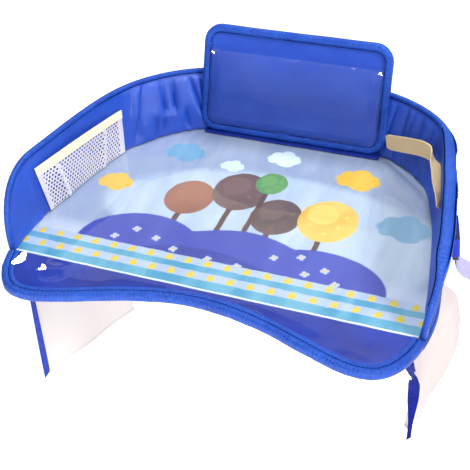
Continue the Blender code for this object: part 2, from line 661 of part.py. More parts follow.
web_mat = material("webbing", BLUE, 0.7)
hard_mat = material("black_plastic", (0.02, 0.02, 0.022), 0.4)
for side in ("right", "left"):
    frame, lean = belt_frame(side)
    path, bar = belt_path(lean)
    secs = []
    for i, q in enumerate(path):
        t = path[min(i + 1, len(path) - 1)] - path[max(i - 1, 0)]
        t = t / np.linalg.norm(t)
        nx, nz = -t[1], t[0]
        h = BELT_T / 2
        secs.append([(q[0] + nx * h, -BELT_W / 2, q[1] + nz * h),
                     (q[0] + nx * h, BELT_W / 2, q[1] + nz * h),
                     (q[0] - nx * h, BELT_W / 2, q[1] - nz * h),
                     (q[0] - nx * h, -BELT_W / 2, q[1] - nz * h)])
    sweep("belt_webbing_" + side, secs, web_mat, parent=frame)

    # patch that holds the upper end of the webbing to the wall
    lean_deg = math.radians(BELT_LEAN)
    px, pz = belt_line(50.0, lean), 50.0
    patch = []
    for dz in (-7.0, 6.5):
        cx = px - dz * math.sin(lean_deg)
        patch.append([(cx + 1.1, -18.0, pz + dz), (cx + 1.1, 18.0, pz + dz),
                      (cx + 1.9, 18.0, pz + dz), (cx + 1.9, -18.0, pz + dz)])
    sweep("belt_anchor_patch_" + side, patch, tape_mat, parent=frame)

    # slider: outer bars at top and foot, inner bar at the middle
    e = bpy.data.objects.new("slider_axis_" + side, None)
    bpy.context.scene.collection.objects.link(e)
    e.parent = frame
    e.location = Vector((belt_line(SLIDER_Z, lean), 0.0, SLIDER_Z)) * MM
    e.rotation_euler = (0.0, -lean_deg, 0.0)
    sl = finish("slider_" + side, block((-2.9, 2.9), (-18.5, 18.5), (-12.0, 12.0)), hard_mat, e)
    boolean(sl, block((-1.05, 1.05), (-14.7, 14.7), (-13.0, 13.0)), "DIFFERENCE")
    boolean(sl, block((-3.5, -0.6), (-14.7, 14.7), (3.0, 13.5)), "DIFFERENCE")
    boolean(sl, block((-3.5, -0.6), (-14.7, 14.7), (-13.5, -3.0)), "DIFFERENCE")
    boolean(sl, block((0.6, 3.5), (-14.7, 14.7), (-7.5, 7.5)), "DIFFERENCE")
    round_edges(sl, 0.5, 1)

    # buckle half hanging in the end of the webbing
    b = bpy.data.objects.new("buckle_frame_" + side, None)
    bpy.context.scene.collection.objects.link(b)
    b.parent = frame
    b.location = Vector((bar[0], 0.0, bar[1])) * MM
    if side == "left":
        bk = finish("buckle_socket", block((-5.2, 5.2), (-18.0, 18.0), (-38.0, -7.2)), hard_mat, b)
    else:
        bk = finish("buckle_plug", block((-4.2, 4.2), (-18.0, 18.0), (-15.0, -7.2)), hard_mat, b)
    boolean(bk, block((-1.2, 1.2), (-17.9, 17.9), (-8.0, 1.2)), "UNION")
    boolean(bk, block((-2.0, 2.0), (-14.7, 14.7), (-7.3, -1.2)), "DIFFERENCE")
    if side == "left":
        boolean(bk, block((-3.5, 3.5), (-13.5, 13.5), (-38.5, -12.0)), "DIFFERENCE")
        boolean(bk, block((-2.7, 2.7), (-18.5, 18.5), (-28.0, -16.0)), "DIFFERENCE")
    else:
        boolean(bk, block((-2.0, 2.0), (-1.8, 1.8), (-36.0, -14.5)), "UNION")
        for sg in (-1, 1):
            lo, hi = sorted((sg * 8.6, sg * 12.6))
            boolean(bk, block((-2.1, 2.1), (lo, hi), (-37.0, -14.5)), "UNION")
            lo, hi = sorted((sg * 12.0, sg * 15.6))
            boolean(bk, block((-2.1, 2.1), (lo, hi), (-27.0, -20.0)), "UNION")
    round_edges(bk, 0.6, 1)

# ---------------------------------------------------------------- side flaps
flap_mat = material("flap_cloth", (0.86, 0.80, 0.76), 0.8)
rib_mat = material("flap_tape", BLUE, 0.6)
for side in ("right", "left"):
    mid = ((FLAP_A[0] + FLAP_B[0]) / 2, (FLAP_A[1] + FLAP_B[1]) / 2)
    length = math.hypot(FLAP_B[0] - FLAP_A[0], FLAP_B[1] - FLAP_A[1])
    skew = math.atan2(FLAP_A[0] - FLAP_B[0], FLAP_B[1] - FLAP_A[1])
    if side == "right":
        ax = pivot("flap_axis_right", (mid[0], mid[1], FLAP_AXIS_Z), Matrix.Rotation(skew, 3, "Z"))
        front = -1
    else:
        ax = pivot("flap_axis_left", (-mid[0], mid[1], FLAP_AXIS_Z),
                   Matrix.Rotation(math.pi - skew, 3, "Z"))
        front = 1
    half = length / 2
    ys = np.linspace(-half, half, 9)
    rows = []
    for t in np.linspace(0.0, 1.0, 9):
        row = []
        for y in ys:
            back = 0.5 - front * y / length          # 0 at the front edge, 1 at the rear
            depth = FLAP_DROP[0] + (FLAP_DROP[1] - FLAP_DROP[0]) * back
            row.append((0.0, float(y), float(-0.4 - (depth - 0.4) * t)))
        rows.append(row)
    cloth("side_flap_" + side, rows, FLAP_T, flap_mat, ax)
    y0 = front * (half + 0.3)
    y1 = front * (half + 0.3 + RIBBON_W)
    secs = [[(-0.8, y0, z), (0.8, y0, z), (0.8, y1, z), (-0.8, y1, z)]
            for z in (-0.4, -FLAP_DROP[0] / 2, -FLAP_DROP[0] - 3.0)]
    sweep("flap_ribbon_" + side, secs, rib_mat, parent=ax)
    # hem strip sewn flat under the panel, level with the bottom cloth
    z0, z1 = (z - FLAP_AXIS_Z for z in Z_COVER)
    hem = [[(HEM[0], y, z0), (HEM[1], y, z0), (HEM[1], y, z1), (HEM[0], y, z1)]
           for y in (front * (half - 8.5), -front * half)]
    sweep("flap_hem_" + side, hem, material("hem_cloth_" + side, NAVY, 0.7), parent=ax)
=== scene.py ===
"""Looks of the car seat tray table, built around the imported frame.

Geometry below is worked out in millimetres in the frame's own axes and is
scaled to metres when a mesh is made.
"""
import math

import bmesh
import bpy
import numpy as np
from mathutils import Matrix, Vector


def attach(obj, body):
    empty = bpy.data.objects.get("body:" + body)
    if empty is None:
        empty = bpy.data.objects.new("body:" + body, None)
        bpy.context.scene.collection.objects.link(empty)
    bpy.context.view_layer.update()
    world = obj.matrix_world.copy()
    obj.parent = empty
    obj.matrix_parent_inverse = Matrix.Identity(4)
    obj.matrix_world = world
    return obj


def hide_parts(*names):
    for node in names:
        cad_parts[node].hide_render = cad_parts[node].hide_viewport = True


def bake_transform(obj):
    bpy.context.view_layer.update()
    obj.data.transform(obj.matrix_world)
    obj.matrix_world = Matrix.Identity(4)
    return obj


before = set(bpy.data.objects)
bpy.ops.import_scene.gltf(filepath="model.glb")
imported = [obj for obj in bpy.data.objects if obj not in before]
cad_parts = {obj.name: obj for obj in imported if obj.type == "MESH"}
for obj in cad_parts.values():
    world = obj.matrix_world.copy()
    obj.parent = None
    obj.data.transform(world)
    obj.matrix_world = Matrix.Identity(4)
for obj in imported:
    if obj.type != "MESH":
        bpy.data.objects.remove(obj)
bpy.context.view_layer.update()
MM = 0.001

# ------------------------------------------------------------------ dimensions
TOP = 7.5
TAPE_LEG = 10.0
OUTLINE = [(0.0, -125.6), (60.7, -135.1), (115.1, -154.0), (169.9, -159.1),
           (198.5, -103.5), (193.1, -19.2), (163.0, 98.5), (92.3, 156.6), (0.0, 162.0)]
WALL_FRONT, WALL_RISE = -111.7, 64.0
WALL_H_SIDE, WALL_H_BACK = 69.3, 63.0
WALL_LEAN_SIDE, WALL_LEAN_BACK = 5.5, 16.5
WALL_INSET = 4.7
WALL_T = 3.9
LEAN_Y = (35.0, 140.0)
PRINT_LINE = -107.7
POCKET_Y, POCKET_H, POCKET_BAND, POCKET_BULGE = (-45.0, 83.0), 44.5, 9.5, 11.5
HOLD_PIVOT, HOLD_TILT = (-1.5, 143.0, 10.5), 11.5
HOLD_W, HOLD_H, HOLD_R = 203.0, 116.4, 18.0
HOLD_RAISE, HOLD_MARGIN, WINDOW_TOP = 8.5, 9.0, 91.0
BELT_TOP, BELT_OUT, BELT_LEAN, BUCKLE_Z = 57.0, 1.5, 5.2, -128.0
FLAP_A, FLAP_B = (186.5, -118.0), (173.5, 24.0)
FLAP_DROP = (152.0, 184.0)


# --------------------------------------------------------------------- numbers
def smooth(t):
    t = np.clip(t, 0.0, 1.0)
    return t * t * (3 - 2 * t)


def bell(x, w):
    return np.exp(-(np.asarray(x) / w) ** 2)


def noise1(x, seed):
    """Smooth random curve between -1 and 1 with knots at the whole numbers."""
    table = np.random.RandomState(seed).uniform(-1, 1, 512)
    x = np.asarray(x, float)
    i = np.floor(x).astype(int)
    f = smooth(x - i)
    return table[i % 512] * (1 - f) + table[(i + 1) % 512] * f


def noise2(x, y, seed):
    """Smooth random surface between -1 and 1."""
    table = np.random.RandomState(seed).uniform(-1, 1, (64, 64))
    x, y = np.asarray(x, float), np.asarray(y, float)
    i, j = np.floor(x).astype(int), np.floor(y).astype(int)
    f, g = smooth(x - i), smooth(y - j)
    at = lambda a, b: table[a % 64, b % 64]
    return ((at(i, j) * (1 - f) + at(i + 1, j) * f) * (1 - g)
            + (at(i, j + 1) * (1 - f) + at(i + 1, j + 1) * f) * g)


def closed_spline(ctrl, n):
    """Periodic cubic through the points, knots by the root of their spacing."""
    p = np.array(ctrl, float)
    m = len(p)
    h = np.sqrt(np.linalg.norm(np.roll(p, -1, 0) - p, axis=1))
    A = np.zeros((m, m))
    B = np.zeros((m, 2))
    for i in range(m):
        a, b = (i - 1) % m, (i + 1) % m
        A[i, a] += h[a]
        A[i, i] += 2 * (h[a] + h[i])
        A[i, b] += h[i]
        B[i] = 6 * ((p[b] - p[i]) / h[i] - (p[i] - p[a]) / h[a])
    M = np.linalg.solve(A, B)
    t = np.r_[0.0, np.cumsum(h)]
    out = []
    for s in np.linspace(0.0, t[-1], n, endpoint=False):
        i = min(int(np.searchsorted(t, s, side="right")) - 1, m - 1)
        b = (i + 1) % m
        u, v = s - t[i], t[i + 1] - s
        out.append(M[i] * v ** 3 / (6 * h[i]) + M[b] * u ** 3 / (6 * h[i])
                   + (p[i] / h[i] - M[i] * h[i] / 6) * v
                   + (p[b] / h[i] - M[b] * h[i] / 6) * u)
    return np.array(out)


def open_spline(points, n):
    """Natural cubic through points in any dimension, n samples."""
    p = np.array(points, float)
    m = len(p)
    h = np.sqrt(np.linalg.norm(p[1:] - p[:-1], axis=1))
    A = np.eye(m)
    B = np.zeros_like(p)
    for i in range(1, m - 1):
        A[i, i - 1], A[i, i], A[i, i + 1] = h[i - 1], 2 * (h[i - 1] + h[i]), h[i]
        B[i] = 6 * ((p[i + 1] - p[i]) / h[i] - (p[i] - p[i - 1]) / h[i - 1])
    M = np.linalg.solve(A, B)
    t = np.r_[0.0, np.cumsum(h)]
    out = []
    for s in np.linspace(0.0, t[-1], n):
        i = min(int(np.searchsorted(t, s, side="right")) - 1, m - 2)
        u, v = s - t[i], t[i + 1] - s
        out.append(M[i] * v ** 3 / (6 * h[i]) + M[i + 1] * u ** 3 / (6 * h[i])
                   + (p[i] / h[i] - M[i] * h[i] / 6) * v
                   + (p[i + 1] / h[i] - M[i + 1] * h[i] / 6) * u)
    return np.array(out)


DENSE = closed_spline(OUTLINE + [(-x, y) for x, y in OUTLINE[-2:0:-1]], 2400)
LOOP = np.vstack([DENSE, DENSE[:1]])
ARC = np.r_[0.0, np.cumsum(np.linalg.norm(np.diff(LOOP, axis=0), axis=1))]
LENGTH = ARC[-1]


def outline(s):
    """Points and outward normals at arc lengths s from the front centre."""
    s = np.asarray(s, float)
    at = lambda u: np.stack([np.interp(u % LENGTH, ARC, LOOP[:, 0]),
                             np.interp(u % LENGTH, ARC, LOOP[:, 1])], -1)
    tan = at(s + 1.5) - at(s - 1.5)
    tan /= np.linalg.norm(tan, axis=-1, keepdims=True)
    return at(s), np.stack([tan[..., 1], -tan[..., 0]], -1)


def arc_at_y(y, lo=0.0, hi=0.5):
    s = ARC[:-1]
    ok = (s >= lo * LENGTH) & (s <= hi * LENGTH) & (DENSE[:, 0] > 60)
    ok &= (DENSE[:, 0] > 150) | (y > 60)
    return float(s[int(np.argmin(np.where(ok, np.abs(DENSE[:, 1] - y), 1e9)))])


S_WALL = arc_at_y(WALL_FRONT, 0.15, 0.5)
S_END = LENGTH - S_WALL


def wall_size(s):
    """Height and lean of the wall at arc lengths s."""
    p, _ = outline(s)
    w = smooth((p[..., 1] - LEAN_Y[0]) / (LEAN_Y[1] - LEAN_Y[0]))
    full = WALL_H_SIDE + (WALL_H_BACK - WALL_H_SIDE) * w
    lean = (WALL_LEAN_SIDE + (WALL_LEAN_BACK - WALL_LEAN_SIDE) * w) / full
    t = np.clip((p[..., 1] - WALL_FRONT) / WALL_RISE, 0.0, 1.0)
    return full * np.sqrt(np.maximum(1 - (1 - t) ** 2, 0.0)), lean


def wall(s, a, z):
    """a: distance out from the inner face; z: height above the panel."""
    s, a, z = np.broadcast_arrays(np.asarray(s, float), np.asarray(a, float), np.asarray(z, float))
    p, n = outline(s)
    d = -WALL_INSET + a + wall_size(s)[1] * z
    return np.concatenate([p + n * d[..., None], (TOP + z)[..., None]], -1)


def hold(u, n, v):
    """Point of the clear pocket's own axes: u across, n backwards, v up."""
    u, n, v = np.broadcast_arrays(np.asarray(u, float), np.asarray(n, float), np.asarray(v, float))
    c, s = math.cos(math.radians(HOLD_TILT)), math.sin(math.radians(HOLD_TILT))
    u = u + smooth((-u - 40.0) / 60.0) * (-2.5 + 4.5 * v / HOLD_H)
    return np.stack([HOLD_PIVOT[0] + u, HOLD_PIVOT[1] + n * c + v * s,
                     HOLD_PIVOT[2] - n * s + v * c], -1)


# ---------------------------------------------------------------------- meshes
def make(name, verts, faces, uv, mat, body, sharp=50.0, fix=True):
    """A mesh object in metres, riding on a body. uv is per face corner, mm."""
    me = bpy.data.meshes.new(name)
    me.from_pydata((np.asarray(verts, float) * MM).tolist(), [], [list(map(int, f)) for f in faces])
    if uv is not None:
        layer = me.uv_layers.new(name="cloth")
        layer.data.foreach_set("uv", np.asarray(uv, np.float32).ravel())
    me.materials.append(mat)
    if fix:
        bm = bmesh.new()
        bm.from_mesh(me)
        bmesh.ops.recalc_face_normals(bm, faces=bm.faces)
        bm.to_mesh(me)
        bm.free()
    me.shade_smooth()
    me.set_sharp_from_angle(angle=math.radians(sharp))
    ob = bpy.data.objects.new(name, me)
    bpy.context.scene.collection.objects.link(ob)
    if body:
        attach(ob, body)
    return ob


def run(P, axis, ring):
    """Mean distance along one axis of a grid of points."""
    d = np.linalg.norm(np.diff(P, axis=axis), axis=-1).mean(axis=1 - axis)
    if ring:
        d = np.r_[d, np.linalg.norm(np.take(P, 0, axis) - np.take(P, -1, axis), axis=-1).mean()]
    return np.r_[0.0, np.cumsum(d)]


def quads(m, n, ring_u=False, ring_v=False):
    I, J = np.meshgrid(np.arange(m if ring_u else m - 1), np.arange(n if ring_v else n - 1), indexing="ij")
    I, J = I.ravel(), J.ravel()
    return I, J, (I + 1) % m, (J + 1) % n


def grid_faces(P, ring_u=False, ring_v=False):
    m, n, _ = P.shape
    I, J, I2, J2 = quads(m, n, ring_u, ring_v)
    U, V = run(P, 0, ring_u), run(P, 1, ring_v)
    faces = np.stack([I * n + J, I * n + J2, I2 * n + J2, I2 * n + J], -1)
    uv = np.stack([np.stack([U[I], V[J]], -1), np.stack([U[I], V[J + 1]], -1),
                   np.stack([U[I + 1], V[J + 1]], -1), np.stack([U[I + 1], V[J]], -1)], 1)
    return faces, uv


def tube(name, P, mat, body, ring=False, sharp=50.0):
    """A solid through closed sections P[i]; open ones are capped."""
    m, n, _ = P.shape
    faces, uv = grid_faces(P, ring, True)
    faces, uv = faces.tolist(), uv.reshape(-1, 2)
    if not ring:
        faces += [list(range(n))[::-1], list(range((m - 1) * n, m * n))]
        uv = np.vstack([uv, np.zeros((2 * n, 2))])
    return make(name, P.reshape(-1, 3), faces, uv, mat, body, sharp)


def normals(P, ring_u=False):
    du = (np.roll(P, -1, 0) - np.roll(P, 1, 0)) if ring_u else np.gradient(P, axis=0)
    n = np.cross(du, np.gradient(P, axis=1))
    return n / np.maximum(np.linalg.norm(n, axis=-1, keepdims=True), 1e-9)


def cloth(name, P, t, mat, body, ring=False, sharp=50.0):
    """A closed thin sheet around a grid of points, t thick (a number or a grid)."""
    m, n, _ = P.shape
    t = np.broadcast_to(np.asarray(t, float), (m, n))[..., None]
    N = normals(P, ring)
    A, B = P + N * t / 2, P - N * t / 2
    f, uv = grid_faces(P, ring, False)
    faces = f.tolist() + (f[:, ::-1] + m * n).tolist()
    uvs = [uv.reshape(-1, 2), uv[:, ::-1].reshape(-1, 2)]
    rims = [[(i, 0) for i in range(m)], [(i, n - 1) for i in range(m)]]
    if not ring:
        rims += [[(0, j) for j in range(n)], [(m - 1, j) for j in range(n)]]
    U, V = run(P, 0, ring), run(P, 1, False)
    for r in rims:
        seq = list(zip(r, r[1:])) + ([(r[-1], r[0])] if ring else [])
        for (i, j), (k, l) in seq:
            a, b = i * n + j, k * n + l
            faces.append([a, b, b + m * n, a + m * n])
            uvs.append(np.array([[U[i], V[j]], [U[k], V[l]], [U[k], V[l] + 0.3], [U[i], V[j] + 0.3]]))
    verts = np.vstack([A.reshape(-1, 3), B.reshape(-1, 3)])
    return make(name, verts, faces, np.vstack(uvs), mat, body, sharp)


def disc(name, loop, centre, rings, low, high, mat, body, power=1.0):
    """A flat closed sheet filled from a loop towards its centre.

    loop is (n, 2); low and high give both faces as points from (x, y).
    """
    loop, c = np.asarray(loop, float), np.asarray(centre, float)
    q = 1 - (1 - np.linspace(0.03, 1.0, rings)) ** power if power != 1.0 else np.linspace(0.03, 1.0, rings)
    XY = c + (loop[None] - c) * q[:, None, None]
    m, n = rings, len(loop)
    A, B = high(XY[..., 0], XY[..., 1]), low(XY[..., 0], XY[..., 1])
    I, J, I2, J2 = quads(m, n, False, True)
    f = np.stack([I * n + J, I2 * n + J, I2 * n + J2, I * n + J2], -1)
    flat = XY.reshape(-1, 2)
    faces = f.tolist() + (f[:, ::-1] + m * n).tolist()
    uv = [flat[f].reshape(-1, 2), flat[f[:, ::-1]].reshape(-1, 2)]
    faces += [list(range(n)), [k + m * n for k in range(n)][::-1]]
    uv += [flat[:n], flat[:n][::-1]]
    e = (m - 1) * n
    for j in range(n):
        a, b = e + j, e + (j + 1) % n
        faces.append([a, b, b + m * n, a + m * n])
        uv.append(flat[[a, b, b, a]])
    verts = np.vstack([A.reshape(-1, 3), B.reshape(-1, 3)])
    return make(name, verts, faces, np.vstack(uv), mat, body)


def chaikin(poly, times=1):
    """Cuts the corners of a closed polygon."""
    p = np.asarray(poly, float)
    for _ in range(times):
        q = np.roll(p, -1, 0)
        p = np.stack([p * 0.75 + q * 0.25, p * 0.25 + q * 0.75], 1).reshape(-1, p.shape[1])
    return p


def even(path, step, *more, ends=True):
    """Even steps along a polyline; further arrays are carried with it."""
    path = np.asarray(path, float)
    c = np.r_[0.0, np.cumsum(np.linalg.norm(np.diff(path, axis=0), axis=1))]
    k = max(int(round(c[-1] / step)), 2)
    q = np.linspace(0, c[-1], k + 1) if ends else (np.arange(k) + 0.5) * c[-1] / k
    pick = lambda A: np.stack([np.interp(q, c, A[:, i]) for i in range(A.shape[1])], -1)
    out = [pick(path)] + [pick(np.asarray(a, float).reshape(len(path), -1)) for a in more]
    return out if more else out[0]


def unit(v):
    return v / np.maximum(np.linalg.norm(v, axis=-1, keepdims=True), 1e-9)


def stitches(name, path, up, mat, body, pitch=3.2, length=2.5, width=0.62, height=0.36, slant=0.0):
    """A row of thread stitches lying on a surface whose normals are up."""
    C, N = even(path, pitch, up, ends=False)
    step = np.asarray(even(path, pitch))
    T = unit(step[1:] - step[:-1])
    N = unit(N - T * (N * T).sum(-1, keepdims=True))
    S = np.cross(N, T)
    if slant:
        T, S = T * math.cos(slant) + S * math.sin(slant), S * math.cos(slant) - T * math.sin(slant)
    ring, k = [(-1.0, 0.25), (-0.72, 0.85), (0.0, 1.0), (0.72, 0.85), (1.0, 0.25)], 6
    V, F, UV = [], [], []
    base = []
    for x, r in ring:
        for j in range(k):
            a = 2 * math.pi * j / k
            base.append((x * length / 2, r * math.cos(a) * width / 2, r * math.sin(a) * height))
    base = np.array(base)
    for i in range(len(C)):
        o = len(V) * len(base)
        V.append(C[i] + T[i] * base[:, :1] + S[i] * base[:, 1:2] + N[i] * base[:, 2:3])
        for r in range(len(ring) - 1):
            for j in range(k):
                j2 = (j + 1) % k
                F.append([o + r * k + j, o + r * k + j2, o + (r + 1) * k + j2, o + (r + 1) * k + j])
        F.append([o + j for j in range(k)][::-1])
        F.append([o + (len(ring) - 1) * k + j for j in range(k)])
    V = np.vstack(V)
    uv = np.concatenate([V[f][:, :2] for f in F])
    return make(name, V, F, uv, mat, body, 180.0, fix=False)


def beside(path, axis_a, axis_b, prof):
    """Sections along a path: prof (k, 2) or (m, k, 2) in the two given axes."""
    prof = np.asarray(prof, float)
    if prof.ndim == 2:
        prof = np.broadcast_to(prof, (len(path),) + prof.shape)
    return path[:, None] + axis_a[:, None] * prof[..., :1] + axis_b[:, None] * prof[..., 1:]


# ------------------------------------------------------------------- materials
def lin(r, g, b):
    f = lambda c: c / 12.92 if c <= 0.04045 else ((c + 0.055) / 1.055) ** 2.4
    return tuple(f(c / 255.0) for c in (r, g, b)) + (1.0,)


class Shade:
    """A material with a Principled shader and short names for its nodes."""

    def __init__(self, name, rough=0.5, **sockets):
        self.mat = bpy.data.materials.new(name)
        self.mat.use_nodes = True
        self.t = self.mat.node_tree
        self.p = self.t.nodes["Principled BSDF"]
        self.out = self.t.nodes["Material Output"]
        self.p.inputs["Roughness"].default_value = rough
        for k, v in sockets.items():
            self.p.inputs[k.replace("_", " ")].default_value = v

    def node(self, kind, **props):
        n = self.t.nodes.new(kind)
        for k, v in props.items():
            setattr(n, k, v)
        return n

    def put(self, socket, value):
        if isinstance(value, bpy.types.NodeSocket):
            self.t.links.new(value, socket)
        else:
            socket.default_value = value

    def math(self, op, a, b=0.0, c=None, clamp=False):
        n = self.node("ShaderNodeMath", operation=op, use_clamp=clamp)
        self.put(n.inputs[0], a)
        self.put(n.inputs[1], b)
        if c is not None:
            self.put(n.inputs[2], c)
        return n.outputs[0]

    def step(self, x, lo, hi):
        """0 below lo, 1 above hi, smooth between."""
        n = self.node("ShaderNodeMapRange", interpolation_type="SMOOTHSTEP", clamp=True)
        self.put(n.inputs["Value"], x)
        self.put(n.inputs["From Min"], lo)
        self.put(n.inputs["From Max"], hi)
        return n.outputs["Result"]

    def scale(self, x, lo, hi, a, b):
        n = self.node("ShaderNodeMapRange", clamp=True)
        for k, v in zip(("Value", "From Min", "From Max", "To Min", "To Max"), (x, lo, hi, a, b)):
            self.put(n.inputs[k], v)
        return n.outputs["Result"]

    def mix(self, f, a, b, kind="MIX"):
        n = self.node("ShaderNodeMix", data_type="RGBA", blend_type=kind, clamp_factor=True)
        self.put(n.inputs[0], f)
        self.put(n.inputs[6], a)
        self.put(n.inputs[7], b)
        return n.outputs[2]

    def obj(self):
        if not hasattr(self, "_obj"):
            self._obj = self.node("ShaderNodeTexCoord").outputs["Object"]
        return self._obj

    def xyz(self):
        """Object coordinates in millimetres."""
        if not hasattr(self, "_xyz"):
            n = self.node("ShaderNodeSeparateXYZ")
            self.t.links.new(self.obj(), n.inputs[0])
            self._xyz = [self.math("MULTIPLY", o, 1000.0) for o in n.outputs[:3]]
        return self._xyz

    def uv(self):
        """Distance along and across the cloth in millimetres."""
        if not hasattr(self, "_uv"):
            a = self.node("ShaderNodeUVMap", uv_map="cloth")
            n = self.node("ShaderNodeSeparateXYZ")
            self.t.links.new(a.outputs[0], n.inputs[0])
            self._uv = (n.outputs[0], n.outputs[1])
        return self._uv

    def noise(self, scale, detail=2.0, rough=0.5, stretch=None, dist=0.0):
        """Value noise in object space; scale is per metre."""
        n = self.node("ShaderNodeTexNoise")
        if stretch:
            mp = self.node("ShaderNodeMapping")
            self.t.links.new(self.obj(), mp.inputs[0])
            mp.inputs["Scale"].default_value = stretch
            self.t.links.new(mp.outputs[0], n.inputs["Vector"])
        else:
            self.t.links.new(self.obj(), n.inputs["Vector"])
        n.inputs["Scale"].default_value = scale
        n.inputs["Detail"].default_value = detail
        n.inputs["Roughness"].default_value = rough
        n.inputs["Distortion"].default_value = dist
        return n.outputs[0]

    def wave(self, x, pitch):
        """Sine of a length in mm, -1 to 1."""
        return self.math("SINE", self.math("MULTIPLY", x, 2 * math.pi / pitch))

    def bump(self, height, depth_mm, strength=1.0, prev=None):
        n = self.node("ShaderNodeBump")
        self.put(n.inputs["Height"], height)
        n.inputs["Strength"].default_value = strength
        n.inputs["Distance"].default_value = depth_mm * MM
        if prev is not None:
            self.t.links.new(prev, n.inputs["Normal"])
        return n.outputs[0]

    def finish(self, color=None, normal=None, rough=None):
        if color is not None:
            self.put(self.p.inputs["Base Color"], color)
        if normal is not None:
            self.t.links.new(normal, self.p.inputs["Normal"])
        if rough is not None:
            self.put(self.p.inputs["Roughness"], rough)
        return self.mat


def woven(name, rgb, deep, pitch=0.7, rough=0.5, sheen=0.25, depth=0.10, vary=0.35, gloss=0.12, mottle=26.0, spec=0.3,
          glow=0.0):
    """Plain weave: two sets of threads over and under each other."""
    s = Shade(name, rough, Sheen_Weight=sheen, Sheen_Roughness=0.45, Specular_IOR_Level=spec)
    s.p.inputs["Sheen Tint"].default_value = rgb
    u, v = s.uv()
    a, b = s.wave(u, pitch), s.wave(v, pitch)
    thread = s.math("MULTIPLY", a, b)
    big = s.noise(mottle, 3.0, 0.55)
    fine = s.noise(900.0, 2.0, 0.6)
    f = s.math("ADD", s.scale(big, 0.35, 0.65, 0.0, vary), s.scale(thread, -1.0, 1.0, 0.22, 0.0))
    f = s.math("ADD", f, s.scale(fine, 0.3, 0.7, 0.0, 0.12))
    col = s.mix(f, rgb, deep)
    n = s.bump(thread, depth, 0.55)
    n = s.bump(s.noise(60.0, 3.0, 0.6), 0.5, 0.25, n)
    r = s.scale(big, 0.3, 0.7, rough - gloss / 2, rough + gloss / 2)
    s.finish(col, n, r)
    if glow:
        # thin cloth: part of the light goes through it
        t = s.node("ShaderNodeBsdfTranslucent")
        s.put(t.inputs["Color"], col)
        m = s.node("ShaderNodeMixShader")
        m.inputs[0].default_value = glow
        s.t.links.new(s.p.outputs[0], m.inputs[1])
        s.t.links.new(t.outputs[0], m.inputs[2])
        s.t.links.new(m.outputs[0], s.out.inputs["Surface"])
    return s.mat


def ribbed(name, rgb, deep, pitch=0.9, rough=0.5, sheen=0.25, depth=0.14, along=False, cross=0.45, spec=0.3, pucker=0.0):
    """Tape or webbing with fine ribs across its length, or along it."""
    s = Shade(name, rough, Sheen_Weight=sheen, Sheen_Roughness=0.4, Specular_IOR_Level=spec)
    s.p.inputs["Sheen Tint"].default_value = rgb
    u, v = s.uv()
    main, other = (v, u) if along else (u, v)
    rib = s.wave(main, pitch)
    small = s.math("MULTIPLY", s.wave(other, cross), s.wave(main, cross * 1.3))
    big = s.noise(30.0, 3.0, 0.6)
    f = s.math("ADD", s.scale(rib, -1.0, 1.0, 0.32, 0.0), s.scale(small, -1.0, 1.0, 0.12, 0.0))
    f = s.math("ADD", f, s.scale(big, 0.35, 0.68, 0.0, 0.28))
    n = s.bump(rib, depth, 0.6)
    n = s.bump(small, 0.05, 0.5, n)
    if pucker:
        lump = s.noise(330.0, 2.0, 0.55)
        gather = s.math("MULTIPLY", s.wave(main, 3.3), s.scale(s.noise(120.0, 1.0), 0.35, 0.65, 0.1, 1.0))
        n = s.bump(s.math("ADD", s.math("MULTIPLY", lump, 1.6), s.math("MULTIPLY", gather, 0.5)), pucker, 0.9, n)
        # the colour follows the puckers, darker in their dips and lighter on their lumps: painted shade and painted
        # highlight
        f = s.math("ADD", f, s.scale(s.math("ADD", lump, s.math("MULTIPLY", gather, 0.14)), 0.34, 0.68, 0.30, -0.12))
    r = s.scale(s.noise(140.0, 2.0), 0.3, 0.7, rough - 0.08, rough + 0.08)
    return s.finish(s.mix(f, rgb, deep), n, r)


def thread(name, rgb, deep, sheen=0.3, spec=0.3):
    s = Shade(name, 0.6, Sheen_Weight=sheen, Specular_IOR_Level=spec)
    s.p.inputs["Sheen Tint"].default_value = rgb
    x, y, z = s.xyz()
    tw = s.wave(s.math("ADD", s.math("ADD", x, y), z), 0.55)
    return s.finish(s.mix(s.scale(tw, -1, 1, 0.0, 0.7), rgb, deep), s.bump(tw, 0.08, 0.7))


def film(name, haze=0.0, ior=1.25, rough=0.03, wavy=0.10):
    """Clear soft plastic: it lets light through and mirrors the room at its angle."""
    s = Shade(name)
    clear = s.node("ShaderNodeBsdfTransparent")
    clear.inputs[0].default_value = (0.985, 0.99, 1.0, 1.0)
    gloss = s.node("ShaderNodeBsdfGlossy")
    gloss.inputs["Roughness"].default_value = rough
    gloss.inputs["Color"].default_value = (1.0, 1.0, 1.0, 1.0)
    ripple = s.bump(s.noise(55.0, 2.0, 0.5), 0.25, wavy)
    s.t.links.new(ripple, gloss.inputs["Normal"])
    fres = s.node("ShaderNodeFresnel")
    back = s.node("ShaderNodeNewGeometry").outputs["Backfacing"]
    s.put(fres.inputs["IOR"], s.math("ADD", s.math("MULTIPLY", back, 1.0 / ior - ior), ior))
    s.t.links.new(ripple, fres.inputs["Normal"])
    m = s.node("ShaderNodeMixShader")
    s.t.links.new(fres.outputs[0], m.inputs[0])
    s.t.links.new(clear.outputs[0], m.inputs[1])
    s.t.links.new(gloss.outputs[0], m.inputs[2])
    last = m
    if haze:
        milk = s.node("ShaderNodeBsdfDiffuse")
        milk.inputs["Color"].default_value = (0.86, 0.9, 1.0, 1.0)
        m2 = s.node("ShaderNodeMixShader")
        s.put(m2.inputs[0], s.scale(s.noise(24.0, 2.0), 0.3, 0.7, haze * 0.5, haze * 1.4))
        s.t.links.new(m.outputs[0], m2.inputs[1])
        s.t.links.new(milk.outputs[0], m2.inputs[2])
        last = m2
    s.t.links.new(last.outputs[0], s.out.inputs["Surface"])
    return s.mat


